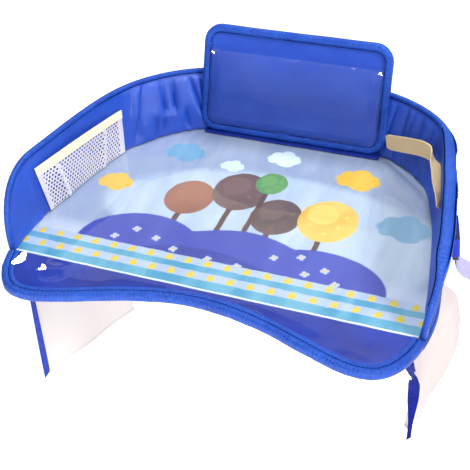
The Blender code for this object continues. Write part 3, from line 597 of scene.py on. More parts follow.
ROYAL, ROYAL_DEEP = lin(34, 84, 198), lin(20, 56, 156)
TAPE, TAPE_DEEP = lin(20, 84, 190), lin(8, 42, 136)

M_WALL = woven("wall_cloth", ROYAL, ROYAL_DEEP, 0.7, 0.34, 0.15, spec=0.6)
M_WALL_OUT = woven("wall_cloth_outside", ROYAL, ROYAL_DEEP, 0.7, 0.5, 0.15)
M_UNDER = woven("under_cloth", lin(22, 44, 150), lin(12, 28, 108), 0.9, 0.62, 0.1, 0.14)
M_TAPE = ribbed("edge_tape", TAPE, TAPE_DEEP, 0.9, 0.42, 0.08, spec=0.34, pucker=0.34)
M_APRON = woven("apron_cloth", lin(20, 52, 158), lin(10, 28, 118), 0.6, 0.6, 0.0, 0.08, vary=0.6, spec=0.08)
M_HOLDER = woven("holder_cloth", lin(44, 84, 190), lin(28, 58, 160), 0.8, 0.55, 0.1, 0.12, spec=0.2)
M_HINGE = ribbed("hinge_cloth", lin(18, 46, 150), lin(8, 24, 108), 1.1, 0.55, 0.1)
M_THREAD = thread("dark_thread", lin(8, 22, 112), lin(4, 12, 72), 0.0, 0.05)
# seam thread, darker than the thread elsewhere: its rows are stitches and also painted shade of the groove under the
# tape edges
M_SEAM_AND_SHADE = thread("seam_thread_and_painted_shade", lin(5, 14, 74), lin(2, 7, 44), 0.0, 0.04)
# light blue thread in the tone of the tape's highlight: stitches, and along the front tape's inner edge a painted
# highlight
M_LIGHT_THREAD_AND_HIGHLIGHT = thread("light_thread_and_painted_highlight", lin(60, 116, 236), lin(26, 66, 196))
M_WHITE_THREAD = thread("white_thread", lin(245, 244, 240), lin(214, 210, 204))
M_FILM = film("clear_film", 0.010)
M_WINDOW = film("clear_window", 0.012, 1.17)
M_FOLD = film("clear_fold", 0.010, 1.52, 0.05, 0.01)
M_NET = thread("net_yarn", lin(232, 230, 240), lin(208, 204, 222))
M_ELASTIC = ribbed("cream_elastic", lin(255, 240, 214), lin(236, 214, 182), 1.1, 0.75, 0.1, 0.12, along=True, cross=0.5)
M_LOOP = ribbed("tan_elastic", lin(255, 230, 182), lin(232, 198, 146), 1.3, 0.75, 0.1, 0.14, along=True, cross=0.6)
M_FLAP = woven("flap_cloth", lin(255, 252, 250), lin(252, 244, 240), 0.55, 0.72, 0.05, 0.06, vary=0.25, spec=0.15, glow=0.6)
# darker, less translucent copy of the flap cloth for the right flap: painted shade
M_FLAP_SHADED = woven("flap_cloth_painted_shade", lin(236, 229, 227), lin(230, 222, 220), 0.55, 0.72, 0.05, 0.06, vary=0.25, spec=0.1,
                     glow=0.45)
M_RIBBON = ribbed("flap_ribbon", lin(40, 66, 184), lin(14, 26, 104), 1.5, 0.6, 0.1, 0.2, cross=1.3, pucker=0.3)
# darker copy of the ribbon for the right flap: painted shade
M_RIBBON_SHADED = ribbed("flap_ribbon_painted_shade", lin(8, 30, 146), lin(2, 8, 66), 1.5, 0.6, 0.0, 0.24, cross=1.3, spec=0.1, pucker=0.4)
M_PIPING = ribbed("white_piping", lin(224, 238, 252), lin(182, 206, 238), 1.4, 0.55, 0.1, 0.1)


def plastic():
    s = Shade("black_plastic", 0.38, Specular_IOR_Level=0.45)
    grain = s.noise(2600.0, 2.0, 0.6)
    wear = s.noise(90.0, 3.0, 0.6)
    col = s.mix(s.scale(wear, 0.45, 0.75, 0.0, 0.6), lin(20, 20, 24), lin(46, 46, 52))
    return s.finish(col, s.bump(grain, 0.03, 0.5), s.scale(wear, 0.3, 0.7, 0.3, 0.5))


def board():
    s = Shade("stiff_board", 0.6)
    f = s.noise(420.0, 4.0, 0.7)
    return s.finish(s.mix(s.scale(f, 0.3, 0.7, 0, 1), lin(206, 208, 210), lin(172, 176, 180)), s.bump(f, 0.05, 0.4))


def foam():
    s = Shade("foam", 0.9)
    v = s.node("ShaderNodeTexVoronoi", feature="F1")
    s.t.links.new(s.obj(), v.inputs["Vector"])
    v.inputs["Scale"].default_value = 1400.0
    d = v.outputs["Distance"]
    return s.finish(s.mix(s.scale(d, 0.0, 0.6, 0, 1), lin(236, 236, 232), lin(200, 202, 200)), s.bump(d, 0.2, 0.6))


M_PLASTIC, M_BOARD, M_FOAM = plastic(), board(), foam()


def printed():
    """Printed cloth: a plain landscape of hills, round trees and clouds over
    two dotted stripes, put together from simple shapes in object space."""
    s = Shade("printed_cloth", 0.6, Specular_IOR_Level=0.1)
    x, y, _ = s.xyz()
    wob = s.math("MULTIPLY", s.math("SUBTRACT", s.noise(120.0, 2.0), 0.5), 2.2)
    xs, ys = s.math("ADD", x, wob), s.math("SUBTRACT", y, wob)

    def oval(cx, cy, rx, ry, edge=0.035, px=None, py=None):
        dx = s.math("DIVIDE", s.math("SUBTRACT", px or xs, cx), rx)
        dy = s.math("DIVIDE", s.math("SUBTRACT", py or ys, cy), ry)
        d = s.math("ADD", s.math("MULTIPLY", dx, dx), s.math("MULTIPLY", dy, dy))
        return s.math("SUBTRACT", 1.0, s.step(d, 1.0 - edge, 1.0 + edge))

    def union(*masks):
        out = masks[0]
        for k in masks[1:]:
            out = s.math("MAXIMUM", out, k)
        return out

    def box(x0, x1, y0, y1, e=0.5):
        a = s.math("MULTIPLY", s.step(xs, x0 - e, x0 + e), s.math("SUBTRACT", 1.0, s.step(xs, x1 - e, x1 + e)))
        b = s.math("MULTIPLY", s.step(ys, y0 - e, y0 + e), s.math("SUBTRACT", 1.0, s.step(ys, y1 - e, y1 + e)))
        return s.math("MULTIPLY", a, b)

    def cloud(cx, cy, w, soft=0.10):
        return union(oval(cx, cy, w * 0.5, w * 0.26, soft), oval(cx - w * 0.22, cy + w * 0.16, w * 0.2, w * 0.19, soft),
                     oval(cx + w * 0.04, cy + w * 0.24, w * 0.22, w * 0.22, soft),
                     oval(cx + w * 0.28, cy + w * 0.10, w * 0.18, w * 0.18, soft),
                     oval(cx - w * 0.30, cy - w * 0.14, w * 0.14, w * 0.12, soft),
                     oval(cx + w * 0.10, cy - w * 0.22, w * 0.24, w * 0.14, soft))

    def wash(a, b, lo=0.35, hi=0.65):
        return s.mix(s.scale(streak, lo, hi, 0, 1), a, b)

    # ground with washed streaks; the paler patches towards the middle are painted reflection of the clear cover, broken
    # up by the streaks
    streak = s.noise(10.0, 4.0, 0.62, (3.4, 0.7, 1.0), 0.6)
    patch = s.noise(14.0, 4.0, 0.55)
    col = wash(lin(135, 150, 174), lin(157, 169, 187))
    col = s.mix(s.scale(patch, 0.42, 0.68, 0.0, 0.75), col, lin(128, 148, 182))
    pale = union(oval(20, 20, 150, 62, 0.22), oval(-96, 2, 54, 40, 0.3), oval(126, -16, 60, 62, 0.3))
    col = s.mix(s.math("MULTIPLY", pale, s.scale(streak, 0.3, 0.7, 0.45, 0.95)), col, lin(184, 200, 214))
    low = s.math("SUBTRACT", 1.0, s.step(ys, -66.0, -40.0))
    col = s.mix(s.math("MULTIPLY", low, 0.5), col, lin(206, 214, 232))

    # plain clouds
    col = s.mix(cloud(-104, 94, 44, 0.2), col, wash(lin(92, 146, 176), lin(116, 164, 190)))
    col = s.mix(cloud(-152, 22, 38, 0.2), col, wash(lin(206, 164, 36), lin(222, 184, 70)))
    col = s.mix(cloud(86, 96, 46, 0.2), col, wash(lin(208, 168, 24), lin(224, 186, 60)))
    col = s.mix(cloud(148, 30, 52, 0.2), col, wash(lin(104, 150, 178), lin(128, 168, 192)))
    col = s.mix(cloud(2, 112, 36, 0.25), col, lin(206, 222, 236))
    col = s.mix(cloud(-46, 84, 26, 0.25), col, lin(196, 212, 232))

    # round trees behind the hills
    trees = [(-68, 20, 25, lin(134, 84, 60), lin(156, 104, 76)),
             (-22, 44, 28, lin(98, 74, 66), lin(118, 92, 80)),
             (26, 14, 25, lin(84, 66, 60), lin(108, 84, 74)),
             (76, 22, 29, lin(206, 166, 60), lin(226, 196, 96)),
             (4, 66, 16, lin(72, 130, 70), lin(104, 158, 84))]
    for cx, cy, r, dark, light in trees:
        col = s.mix(box(cx - 2.8, cx + 2.8, -60, cy), col, lin(88, 60, 46))
        col = s.mix(oval(cx, cy, r, r * 1.15), col, s.mix(s.scale(patch, 0.4, 0.65, 0, 1), dark, light))
        col = s.mix(s.math("MULTIPLY", oval(cx - r * 0.25, cy + r * 0.3, r * 0.52, r * 0.56, 0.12), 0.8), col, light)
        for dx, dy in ((0.42, -0.25), (-0.5, -0.35), (0.05, -0.7), (0.55, 0.35)):
            col = s.mix(oval(cx + dx * r, cy + dy * r, 2.4, 2.4, 0.2), col, light)

    # rolling hills
    crest = s.math("ADD", s.math("MULTIPLY", s.math("SINE", s.math("MULTIPLY", s.math("ADD", xs, 40.0), 0.031)), 13.0), -30.0)
    hill = s.math("SUBTRACT", 1.0, s.step(s.math("SUBTRACT", ys, crest), -0.6, 0.6))
    hump = union(oval(-86, -66, 62, 48), oval(88, -70, 66, 46), s.math("MULTIPLY", hill, box(-86, 88, -90, 40)))
    col = s.mix(hump, col, wash(lin(52, 62, 156), lin(64, 76, 166)))
    near = union(oval(-20, -104, 92, 50), oval(124, -104, 52, 30), oval(-140, -106, 34, 26))
    col = s.mix(near, col, wash(lin(38, 48, 138), lin(50, 60, 150)))
    for cx, cy in ((-96, -44), (-72, -52), (-50, -62), (-14, -66), (16, -68), (44, -46), (68, -38),
                   (94, -50), (108, -66), (78, -60), (34, -80), (-112, -60)):
        for k in range(4):
            a = k * math.pi / 2 + 0.4
            col = s.mix(oval(cx + 2.6 * math.cos(a), cy + 2.6 * math.sin(a), 1.9, 1.9, 0.2), col, lin(170, 184, 228))
        col = s.mix(oval(cx, cy, 1.5, 1.5, 0.2), col, lin(222, 180, 60))

    # stripes and dots at the front
    band = s.math("SUBTRACT", 1.0, s.step(ys, -68.5, -67.5))
    col = s.mix(band, col, wash(lin(156, 174, 204), lin(172, 188, 210)))
    for y0, y1 in ((-85.4, -77.4), (-106.8, -95.6)):
        col = s.mix(box(-260, 260, y0, y1), col, wash(lin(62, 140, 172), lin(98, 162, 184), 0.4, 0.6))
    for y0, off in ((-73.6, 0.0), (-91.4, 9.5)):
        cell = s.math("SUBTRACT", s.math("MULTIPLY", s.math("FRACT", s.math("DIVIDE", s.math("ADD", xs, 500.0 + off), 19.2)), 19.2), 9.6)
        dot = union(oval(0.0, y0 - 0.6, 3.8, 3.2, 0.18, cell), oval(0.0, y0 + 2.2, 2.2, 2.8, 0.18, cell))
        col = s.mix(dot, col, lin(208, 186, 52))

    u, v = s.uv()
    weave = s.math("MULTIPLY", s.wave(u, 0.6), s.wave(v, 0.6))
    col = s.mix(s.scale(weave, -1, 1, 0.07, 0.0), col, lin(110, 130, 180))
    n = s.bump(weave, 0.05, 0.4)
    return s.finish(col, s.bump(s.noise(30.0, 2.0), 0.6, 0.2, n))


M_PRINT = printed()


# ---------------------------------------------------------------- flat panel
def inset(d, n=360):
    p, nn = outline(np.arange(n) * LENGTH / n)
    return p - nn * d


def clip(loop, y, above):
    out, loop = [], [tuple(q) for q in loop]
    keep = (lambda q: q[1] >= y) if above else (lambda q: q[1] <= y)
    for a, b in zip(loop, loop[1:] + loop[:1]):
        if keep(a):
            out.append(a)
        if keep(a) != keep(b):
            t = (y - a[1]) / (b[1] - a[1])
            out.append((a[0] + t * (b[0] - a[0]), y))
    return np.array(out)


def closed_even(loop, n):
    p = np.vstack([loop, loop[:1]])
    c = np.r_[0.0, np.cumsum(np.linalg.norm(np.diff(p, axis=0), axis=1))]
    q = np.arange(n) * c[-1] / n
    return np.stack([np.interp(q, c, p[:, 0]), np.interp(q, c, p[:, 1])], -1)


def level(z, wave=None):
    def f(x, y):
        h = z if wave is None else z + wave(x, y)
        return np.stack([x, y, np.broadcast_to(h, x.shape)], -1)
    return f


def film_wave(x, y):
    """Height of the clear cover above its flat place: soft waves and creases."""
    edge = np.min(np.linalg.norm(np.stack([x, y], -1)[..., None, :] - LOOP[::12], axis=-1), axis=-1)
    calm = smooth((edge - 9.0) / 16.0)
    w = 0.28 * noise2(x / 58 + 9, y / 46 + 3, 5) + 0.14 * noise2(x / 27, y / 31, 6)
    w = (w + 0.42) * calm

    def crease(x0, y0, x1, y1, h, half):
        d = np.array([x1 - x0, y1 - y0])
        L = np.linalg.norm(d)
        d = d / L
        t = (x - x0) * d[0] + (y - y0) * d[1]
        off = np.abs((x - x0) * -d[1] + (y - y0) * d[0])
        return h * np.clip(1 - off / half, 0, 1) * smooth(t / 12) * smooth((L - t) / 12)

    fold = crease(150, -118, 160, -134, 0.6, 9) + crease(-172, -132, -128, -120, 0.8, 9)
    fold = fold + crease(58, -118, 96, -128, 0.6, 10) + crease(-160, -112, -140, -138, 0.6, 7)
    ridge = (1 - np.abs(noise2(x / 24 + 2, y / 15 + 7, 8))) + 0.6 * (1 - np.abs(noise2(x / 13 + y / 20, y / 17 - x / 60, 9)))
    w = w + (fold + 0.42 * ridge * smooth((-y - 109.0) / 8.0) * (1 - 0.65 * smooth((x - 90) / 40))) * calm

    return w


panel = inset(1.3)
sheet_loop = closed_even(clip(panel, PRINT_LINE + 1.5, True), 300)
ripple = lambda x, y: 0.12 * noise2(x / 30, y / 30, 11) * np.ones_like(x)
sheet = disc("printed_sheet_cloth", sheet_loop, (0.0, 10.0), 60, level(6.0), level(6.5, ripple), M_PRINT, "tray")
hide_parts("printed_sheet")

# apron in front of the print, as strips from the tape to the print line
half_w = float(np.max(panel[panel[:, 1] < PRINT_LINE - 1.5][:, 0]))
xs = half_w * np.sin(np.linspace(-math.pi / 2, math.pi / 2, 150))
low = panel[(panel[:, 1] < PRINT_LINE + 2)]
low = low[np.argsort(low[:, 0])]
yb = np.interp(xs, low[:, 0], low[:, 1])
yt = np.full_like(xs, PRINT_LINE - 1.5)
v = np.linspace(0, 1, 16)
X = np.repeat(xs[:, None], 16, 1)
Y = yb[:, None] + (np.maximum(yt, yb + 0.2) - yb)[:, None] * v
Z = 6.3 + 0.15 * noise2(X / 16, Y / 22, 12)
apron = cloth("front_apron_cloth", np.stack([X, Y, Z], -1), 0.5, M_APRON, "tray")
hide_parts("front_apron")

# white cord along the straight front edge of the print
end = float(np.interp(PRINT_LINE, *zip(*sorted([(q[1], q[0]) for q in panel if q[0] > 100 and q[1] < -60]))))
xx = np.linspace(-end, end, 190)
line = np.stack([xx, np.full_like(xx, PRINT_LINE) + 0.18 * noise1(xx / 13, 21), np.full_like(xx, 6.55)], -1)
prof = [(1.25 * math.cos(a), 0.5 * math.sin(a)) for a in np.linspace(0, 2 * math.pi, 12, endpoint=False)]
Yv, Zv = np.tile([0.0, 1.0, 0.0], (190, 1)), np.tile([0.0, 0.0, 1.0], (190, 1))
piping = tube("print_piping_cord", beside(line, Yv, Zv, prof), M_PIPING, "tray", sharp=180)
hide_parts("print_piping")

cover = disc("clear_cover_film", inset(1.3, 420), (0.0, 0.0), 84, level(7.05, film_wave), level(7.32, film_wave),
             M_FILM, "tray", 1.25)
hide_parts("clear_cover")

def film_fold(name, centre, turn, slope, cut):
    """A creased fold of the film: a flat slope over a cut given along and across it."""
    cut = np.asarray(cut, float)
    c, q = math.cos(turn), math.sin(turn)
    a, b = cut[:, 0], cut[:, 1]
    xy = np.stack([centre[0] + a * c - b * q, centre[1] + a * q + b * c], -1)
    foot = 7.34 + film_wave(xy[:, 0], xy[:, 1])
    top = foot.max() + 0.05 + slope * (a - a.min())
    n = len(cut)
    verts = np.vstack([np.c_[xy, foot], np.c_[xy, top]])
    faces = [list(range(n))[::-1], list(range(n, 2 * n))] + [[i, (i + 1) % n, (i + 1) % n + n, i + n] for i in range(n)]
    uv = np.concatenate([verts[f][:, :2] for f in faces])
    return make(name, verts, faces, uv, M_FOLD, "tray", 12.0)


film_fold("clear_cover_fold_edge", (-178.3, -122.5), 2.9402, 0.4541,
          [(-3.6, -1.0), (-2.6, -5.0), (-0.6, -8.0), (2.4, -10.2), (3.4, -8.6), (3.1, -4.0), (3.3, 0.5), (3.2, 5.0),
           (2.6, 9.2), (1.4, 10.4), (-0.6, 8.6), (-2.2, 5.8), (-3.3, 2.2)])
film_fold("clear_cover_fold_point", (-150.6, -129.3), 2.9263, 0.4237,
          [(-3.0, -1.6), (-1.0, -3.4), (2.6, -5.2), (3.0, -2.2), (1.6, 0.6), (2.6, 4.2), (0.6, 3.4), (-1.6, 0.8)])

# underside: bottom cloth between the tape and the two hems
fa = np.array(FLAP_A) + (-5.0, 0.0)
fb = np.array(FLAP_B) + (-5.0, 0.0)


def clip_line(loop, a, b):
    out, loop = [], [tuple(q) for q in loop]
    off = lambda q: (b[0] - a[0]) * (q[1] - a[1]) - (b[1] - a[1]) * (q[0] - a[0])
    for p, q in zip(loop, loop[1:] + loop[:1]):
        u, w = off(p), off(q)
        if u >= 0:
            out.append(p)
        if (u >= 0) != (w >= 0):
            t = u / (u - w)
            out.append((p[0] + t * (q[0] - p[0]), p[1] + t * (q[1] - p[1])))
    return np.array(out)


under = clip_line(inset(10.4), fa, fb)
under = closed_even(clip_line(under, fb * (-1, 1), fa * (-1, 1)), 260)
sag = lambda x, y: -0.25 + 0.25 * noise2(x / 34, y / 34, 14)
bottom = disc("bottom_cloth", under, (0.0, 5.0), 40, level(0.25, sag), level(0.6), M_UNDER, "tray")
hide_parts("bottom_cover")


# ------------------------------------------------------------- panel edge tape
def edge_frame(s):
    p, n = outline(s)
    P = np.concatenate([p, np.zeros((len(s), 1))], 1)
    A = np.concatenate([n, np.zeros((len(s), 1))], 1)
    return P, A, np.tile([0.0, 0.0, 1.0], (len(s), 1))


front_prof = chaikin([(-10.3, 7.65), (-10.3, 8.3), (-9.7, 8.55), (-7.2, 8.6), (-6.5, 8.35), (-6.0, 8.05), (-5.5, 8.4),
                      (-4.4, 9.15), (-2.6, 9.5), (-0.6, 9.0), (0.6, 7.7), (1.1, 5.6), (1.1, 3.0), (0.6, 1.0),
                      (-0.8, -0.1), (-4.4, -0.35), (-6.0, 0.05), (-7.2, -0.25), (-9.8, -0.15), (-10.2, 0.5),
                      (-1.7, 0.75), (-0.5, 1.7), (-0.4, 6.6), (-1.6, 7.6)])
s_front = np.linspace(-S_WALL + 1.0, S_WALL - 1.0, 330)
P0, A0, B0 = edge_frame(s_front)
outer = smooth((front_prof[:, 0] + 6.0) / 5.0)
soft = 0.35 * noise1(s_front / 16, 31) + 0.18 * noise1(s_front / 5.5, 32)
tick = 0.10 * np.sin(2 * math.pi * s_front / 3.2)
fp = np.repeat(front_prof[None], len(s_front), 0)
fp[..., 0] += (soft + tick)[:, None] * outer
fp[..., 1] += (0.28 * noise1(s_front / 11, 33) + tick)[:, None] * outer * (front_prof[:, 1] > 7)
front_tape = tube("front_edge_tape", beside(P0, A0, B0, fp), M_TAPE, "tray")
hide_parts("front_edge_binding")
row = beside(P0, A0, B0, [(-6.0, 8.2)])[:, 0]
stitches("front_tape_stitches", row, B0, M_SEAM_AND_SHADE, "tray", 3.3, 2.3, 1.0, 0.4)
# a dense dark row under the stitches: painted shade of the groove
row = beside(P0, A0, B0, [(-6.0, 8.0)])[:, 0]
stitches("front_tape_groove_painted_shade", row, B0, M_THREAD, "tray", 1.4, 2.0, 0.8, 0.2)
# a light row along the tape's inner edge: painted highlight of that edge
row = beside(P0, A0, B0, [(-9.6, 8.58)])[:, 0]
stitches("front_tape_inner_edge_painted_highlight", row, B0, M_LIGHT_THREAD_AND_HIGHLIGHT, "tray", 1.6, 1.5, 0.5, 0.14)
row = beside(P0, A0, B0, [(0.95, 4.4)])[:, 0]
stitches("front_tape_edge_ticks", row, A0, M_LIGHT_THREAD_AND_HIGHLIGHT, "tray", 3.0, 2.6, 0.5, 0.2, slant=1.0)
row = beside(P0, A0, B0, [(-6.0, -0.05)])[:, 0]
stitches("front_tape_stitches_below", row, -B0, M_THREAD, "tray", 3.3, 2.5)

rear_prof = chaikin([(-1.4, 7.4), (0.0, 7.35), (0.9, 6.5), (1.2, 5.2), (0.95, 4.6), (1.25, 3.8), (1.1, 1.6), (0.3, 0.2),
                     (-1.2, -0.2), (-4.8, -0.35), (-6.0, 0.0), (-7.2, -0.25), (-9.8, -0.15), (-10.2, 0.5),
                     (-1.8, 0.7), (-0.6, 1.5), (-0.35, 4.2), (-0.6, 6.8), (-1.4, 7.0)])
s_rear = np.linspace(S_WALL - 3.0, S_END + 3.0, 460)
P1, A1, B1 = edge_frame(s_rear)
rp = np.repeat(rear_prof[None], len(s_rear), 0)
rp[..., 0] += (0.25 * noise1(s_rear / 18, 35))[:, None] * (rear_prof[:, 0] > -1)
rear_tape = tube("rear_edge_tape", beside(P1, A1, B1, rp), M_TAPE, "tray")
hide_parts("rear_edge_binding")
row = beside(P1, A1, B1, [(1.05, 4.55)])[:, 0]
stitches("rear_tape_stitches", row, A1, M_THREAD, "tray", 3.3, 2.5)
row = beside(P1, A1, B1, [(-6.0, -0.1)])[:, 0]
stitches("rear_tape_stitches_below", row, -B1, M_THREAD, "tray", 3.3, 2.5)


# ----------------------------------------------------------------- raised wall
q = np.linspace(0, 1, 500)
s_top = np.unique(np.r_[S_WALL + 0.15 + 90 * q ** 2, np.linspace(S_WALL + 90, S_END - 90, 700),
                        S_END - 0.15 - 90 * q ** 2])
top_line = wall(s_top, WALL_T / 2, wall_size(s_top)[0])
top_line, s_col = even(top_line, 1.35, s_top)
s_wall = s_col[:, 0]
h_wall = wall_size(s_wall)[0]


VALLEYS = (  # place at the tape, lean, depth, width to each side, from and to (share of the height)
    (801, 0.42, 1.00, 6.0, 3.0, 0.05, 1.0), (783, 0.03, 0.85, 4.5, 3.0, 0.42, 1.0), (770.5, 0.05, 0.95, 3.4, 5.0, 0.40, 1.0),
    (755, -0.30, 1.00, 5.0, 3.2, 0.30, 1.0), (742, -0.15, 0.80, 4.0, 4.0, 0.15, 0.9), (729, -0.40, 0.90, 5.0, 3.0, 0.20, 1.0),
    (817, 0.25, 0.60, 4.0, 4.0, 0.55, 1.0), (792, 0.10, 0.60, 3.0, 4.0, 0.0, 0.35), (764, -0.10, 0.70, 4.0, 3.0, 0.0, 0.40),
    (777, 0.20, 0.65, 4.0, 3.0, 0.0, 0.30), (712, -0.20, 0.60, 4.0, 5.0, 0.30, 1.0),
    (553, 0.30, 0.90, 5.0, 3.5, 0.20, 1.0), (540, 0.18, 0.90, 4.5, 3.5, 0.25, 1.0), (527, 0.10, 1.00, 5.5, 4.0, 0.10, 1.0),
    (515, -0.05, 1.00, 5.0, 4.0, 0.25, 1.0), (504, 0.10, 0.70, 3.5, 3.5, 0.50, 1.0), (496, -0.20, 1.00, 5.0, 3.5, 0.15, 1.0),
    (479, -0.25, 1.00, 6.0, 4.0, 0.20, 1.0), (464, -0.15, 0.80, 5.0, 5.0, 0.35, 1.0), (520, 0.0, 0.60, 4.0, 4.0, 0.0, 0.3),
    (487, 0.1, 0.60, 4.0, 4.0, 0.0, 0.3), (449, 0.05, 0.55, 6.0, 5.0, 0.25, 1.0))


def inward(s, z):
    """How far the inner cloth stands in from its flat place."""
    h = wall_size(s)[0]
    v = np.clip(z / np.maximum(h, 1.0), 0, 1)
    side = smooth((s - 246) / 30) * smooth((470 - s) / 60)
    # plump cloth between sharp tucks at the two back corners
    right_c = smooth((s - 452) / 22) * smooth((578 - s) / 24)
    left_c = smooth((s - 700) / 22) * smooth((828 - s) / 16)
    full = np.maximum(right_c, left_c)
    body = 0.9 + 2.9 * right_c + 5.6 * left_c
    keep = 1.0
    for s0, lean, depth, wa, wb, lo, hi in VALLEYS:
        d = s - s0 - lean * (h - z)
        cut = np.exp(-np.abs(d) / np.where(d < 0, wa / 1.3, wb / 1.3)) * depth
        keep = keep * (1 - cut * smooth((v - lo) / 0.18 + 0.5) * smooth((hi - v) / 0.18 + 0.5))
    plump = np.sin(math.pi * v ** 0.9) ** 0.55
    w = body * plump * keep
    w = w + (2.0 + 4.2 * side) * np.clip(1 - z / (15 + 6 * side), 0, 1) ** 2
    foot = np.clip(1 - z / 11, 0, 1) * (0.5 + 0.5 * np.sin(s / 2.6 + 2.5 * noise1(s / 19, 41)))
    w = w + 1.3 * foot * smooth((s - 450) / 30) * smooth((835 - s) / 25)
    w = w + (0.5 + 0.9 * full) * (1 + noise2(s / 13 + 0.3 * noise1(z / 9, 44), z / 26 + 5, 43)) * np.sin(math.pi * v)
    near = 1 - 0.85 * smooth((s - 824) / 10) * smooth((984 - s) / 10)
    w = w * near
    return np.minimum(w, np.where(near < 0.6, 1.35, 20.0)) * smooth((h - z - 2.2) / 6) * smooth(h / 26)


rows = np.r_[np.linspace(0, 0.3, 10)[:-1], np.linspace(0.3, 1, 23)]
S = np.repeat(s_wall[:, None], len(rows), 1)
H = np.repeat(h_wall[:, None], len(rows), 1)
Zi = 0.35 + (H - 0.35 - 0.6) * rows
inner = cloth("wall_inner_cloth", wall(S, 0.3 - inward(S, Zi), Zi), 0.55, M_WALL, "tray")
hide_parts("wall_inner_cover")
So = S
puff = 0.5 * (1 + noise2(So / 40, Zi / 30, 45)) * np.sin(math.pi * np.clip(Zi / np.maximum(H, 1), 0, 1))
away = smooth((np.abs(So - 389) - 18) / 14) * smooth((np.abs(So - (LENGTH - 389)) - 18) / 14)
swell = 1.9 * smooth((So - 244) / 30) * smooth((478 - So) / 50) * smooth((Zi - H + 24) / 14) * (0.25 + 0.75 * away)
outer_wall = cloth("wall_outer_cloth", wall(So, WALL_T - 0.3 + puff * away + swell, Zi), 0.55, M_WALL_OUT, "tray")
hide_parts("wall_outer_cover")

# rolled tape along the top of the wall
T = unit(np.gradient(top_line, axis=0))
G = unit(wall(s_wall, WALL_T / 2, h_wall + 1) - wall(s_wall, WALL_T / 2, h_wall - 1))
along = unit(np.concatenate([np.gradient(outline(s_wall)[0], axis=0), np.zeros((len(s_wall), 1))], 1))
O = unit(np.cross(along, G))
out_n = np.concatenate([outline(s_wall)[1], np.zeros((len(s_wall), 1))], 1)
O = O * np.sign((O * out_n).sum(-1, keepdims=True))
D = unit(np.cross(O, T))
if (D[len(D) // 2] * -G[len(D) // 2]).sum() < 0:
    D = -D
roll = chaikin([(-2.2, 3.0), (-2.7, 3.1), (-3.0, 2.5), (-3.05, 1.3), (-2.7, 0.1), (-1.7, -0.95), (0.0, -1.3),
                (1.7, -0.95), (2.7, 0.1), (3.05, 1.5), (2.95, 3.4), (2.7, 5.2), (2.55, 6.2), (2.85, 6.8), (2.95, 7.6),
                (2.7, 8.1), (2.3, 7.9), (2.3, 1.5), (1.2, 0.4), (-1.2, 0.4), (-2.25, 1.5)])
wide = smooth((s_wall - 244) / 30) * smooth((478 - s_wall) / 50)
rr = np.repeat(roll[None], len(s_wall), 0)
plump = 0.5 * noise1(s_wall / 17, 51) + 0.3 * noise1(s_wall / 5, 52)
rr[..., 0] *= (1 + 0.06 * plump)[:, None]
rr[..., 0] = rr[..., 0] * (1 + 0.8 * wide)[:, None] - (3.4 * wide)[:, None]
rr[..., 1] += (0.22 * noise1(s_wall / 23, 53))[:, None] * (roll[:, 1] > 2.4)
rr[..., 1] += wide[:, None] * np.where((roll[:, 0] < 0) & (roll[:, 1] > 1.0), 2.6, 0.0)
top_tape = tube("wall_top_tape", beside(top_line, O, D, rr), M_TAPE, "tray")
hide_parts("wall_top_binding")
# seam below the roll: wide dark stitches over a near solid dark row, stitches and painted shade of the groove under the
# tape's edge
seam = np.stack([-2.25 * (1 + 0.8 * wide) - 3.4 * wide, 3.35 + 2.6 * wide], -1)[:, None]
stitches("wall_tape_stitches", beside(top_line, O, D, seam)[:, 0], -O, M_SEAM_AND_SHADE, "tray", 2.6, 2.5, 1.35, 0.42)
stitches("wall_tape_groove_painted_shade", beside(top_line, O, D, seam)[:, 0], -O, M_SEAM_AND_SHADE, "tray", 1.4, 2.0, 1.1, 0.2)
# on the right wall the roll leans in, and its seam shows along the inner rim as a dense dark row: stitches and painted
# shade of the groove there
part = (s_wall > S_WALL + 7) & (s_wall < 462)
rim = beside(top_line, O, D, np.stack([-2.85 * (1 + 0.8 * wide) - 3.4 * wide, 0.25 + 0 * wide], -1)[:, None])[:, 0]
stitches("wall_tape_rim_stitches_and_painted_shade", rim[part], (-0.85 * O - 0.5 * D)[part], M_SEAM_AND_SHADE, "tray", 1.6, 2.2, 1.7, 0.42)
seam = np.stack([2.6 * (1 + 0.8 * wide) - 3.4 * wide + 0.15, 6.3 + 0 * wide], -1)[:, None]
stitches("wall_tape_stitches_outside", beside(top_line, O, D, seam)[:, 0], O, M_THREAD, "tray", 3.0, 2.7, 0.6)


# ----------------------------------------------------------------- mesh pocket
P_FRONT, P_REAR = (967.0, 974.5, 53.0), (844.0, 836.5, 46.0)  # place at foot and top, height
P_LEN = P_FRONT[0] - P_REAR[0]
P_TALL = POCKET_H + POCKET_BAND


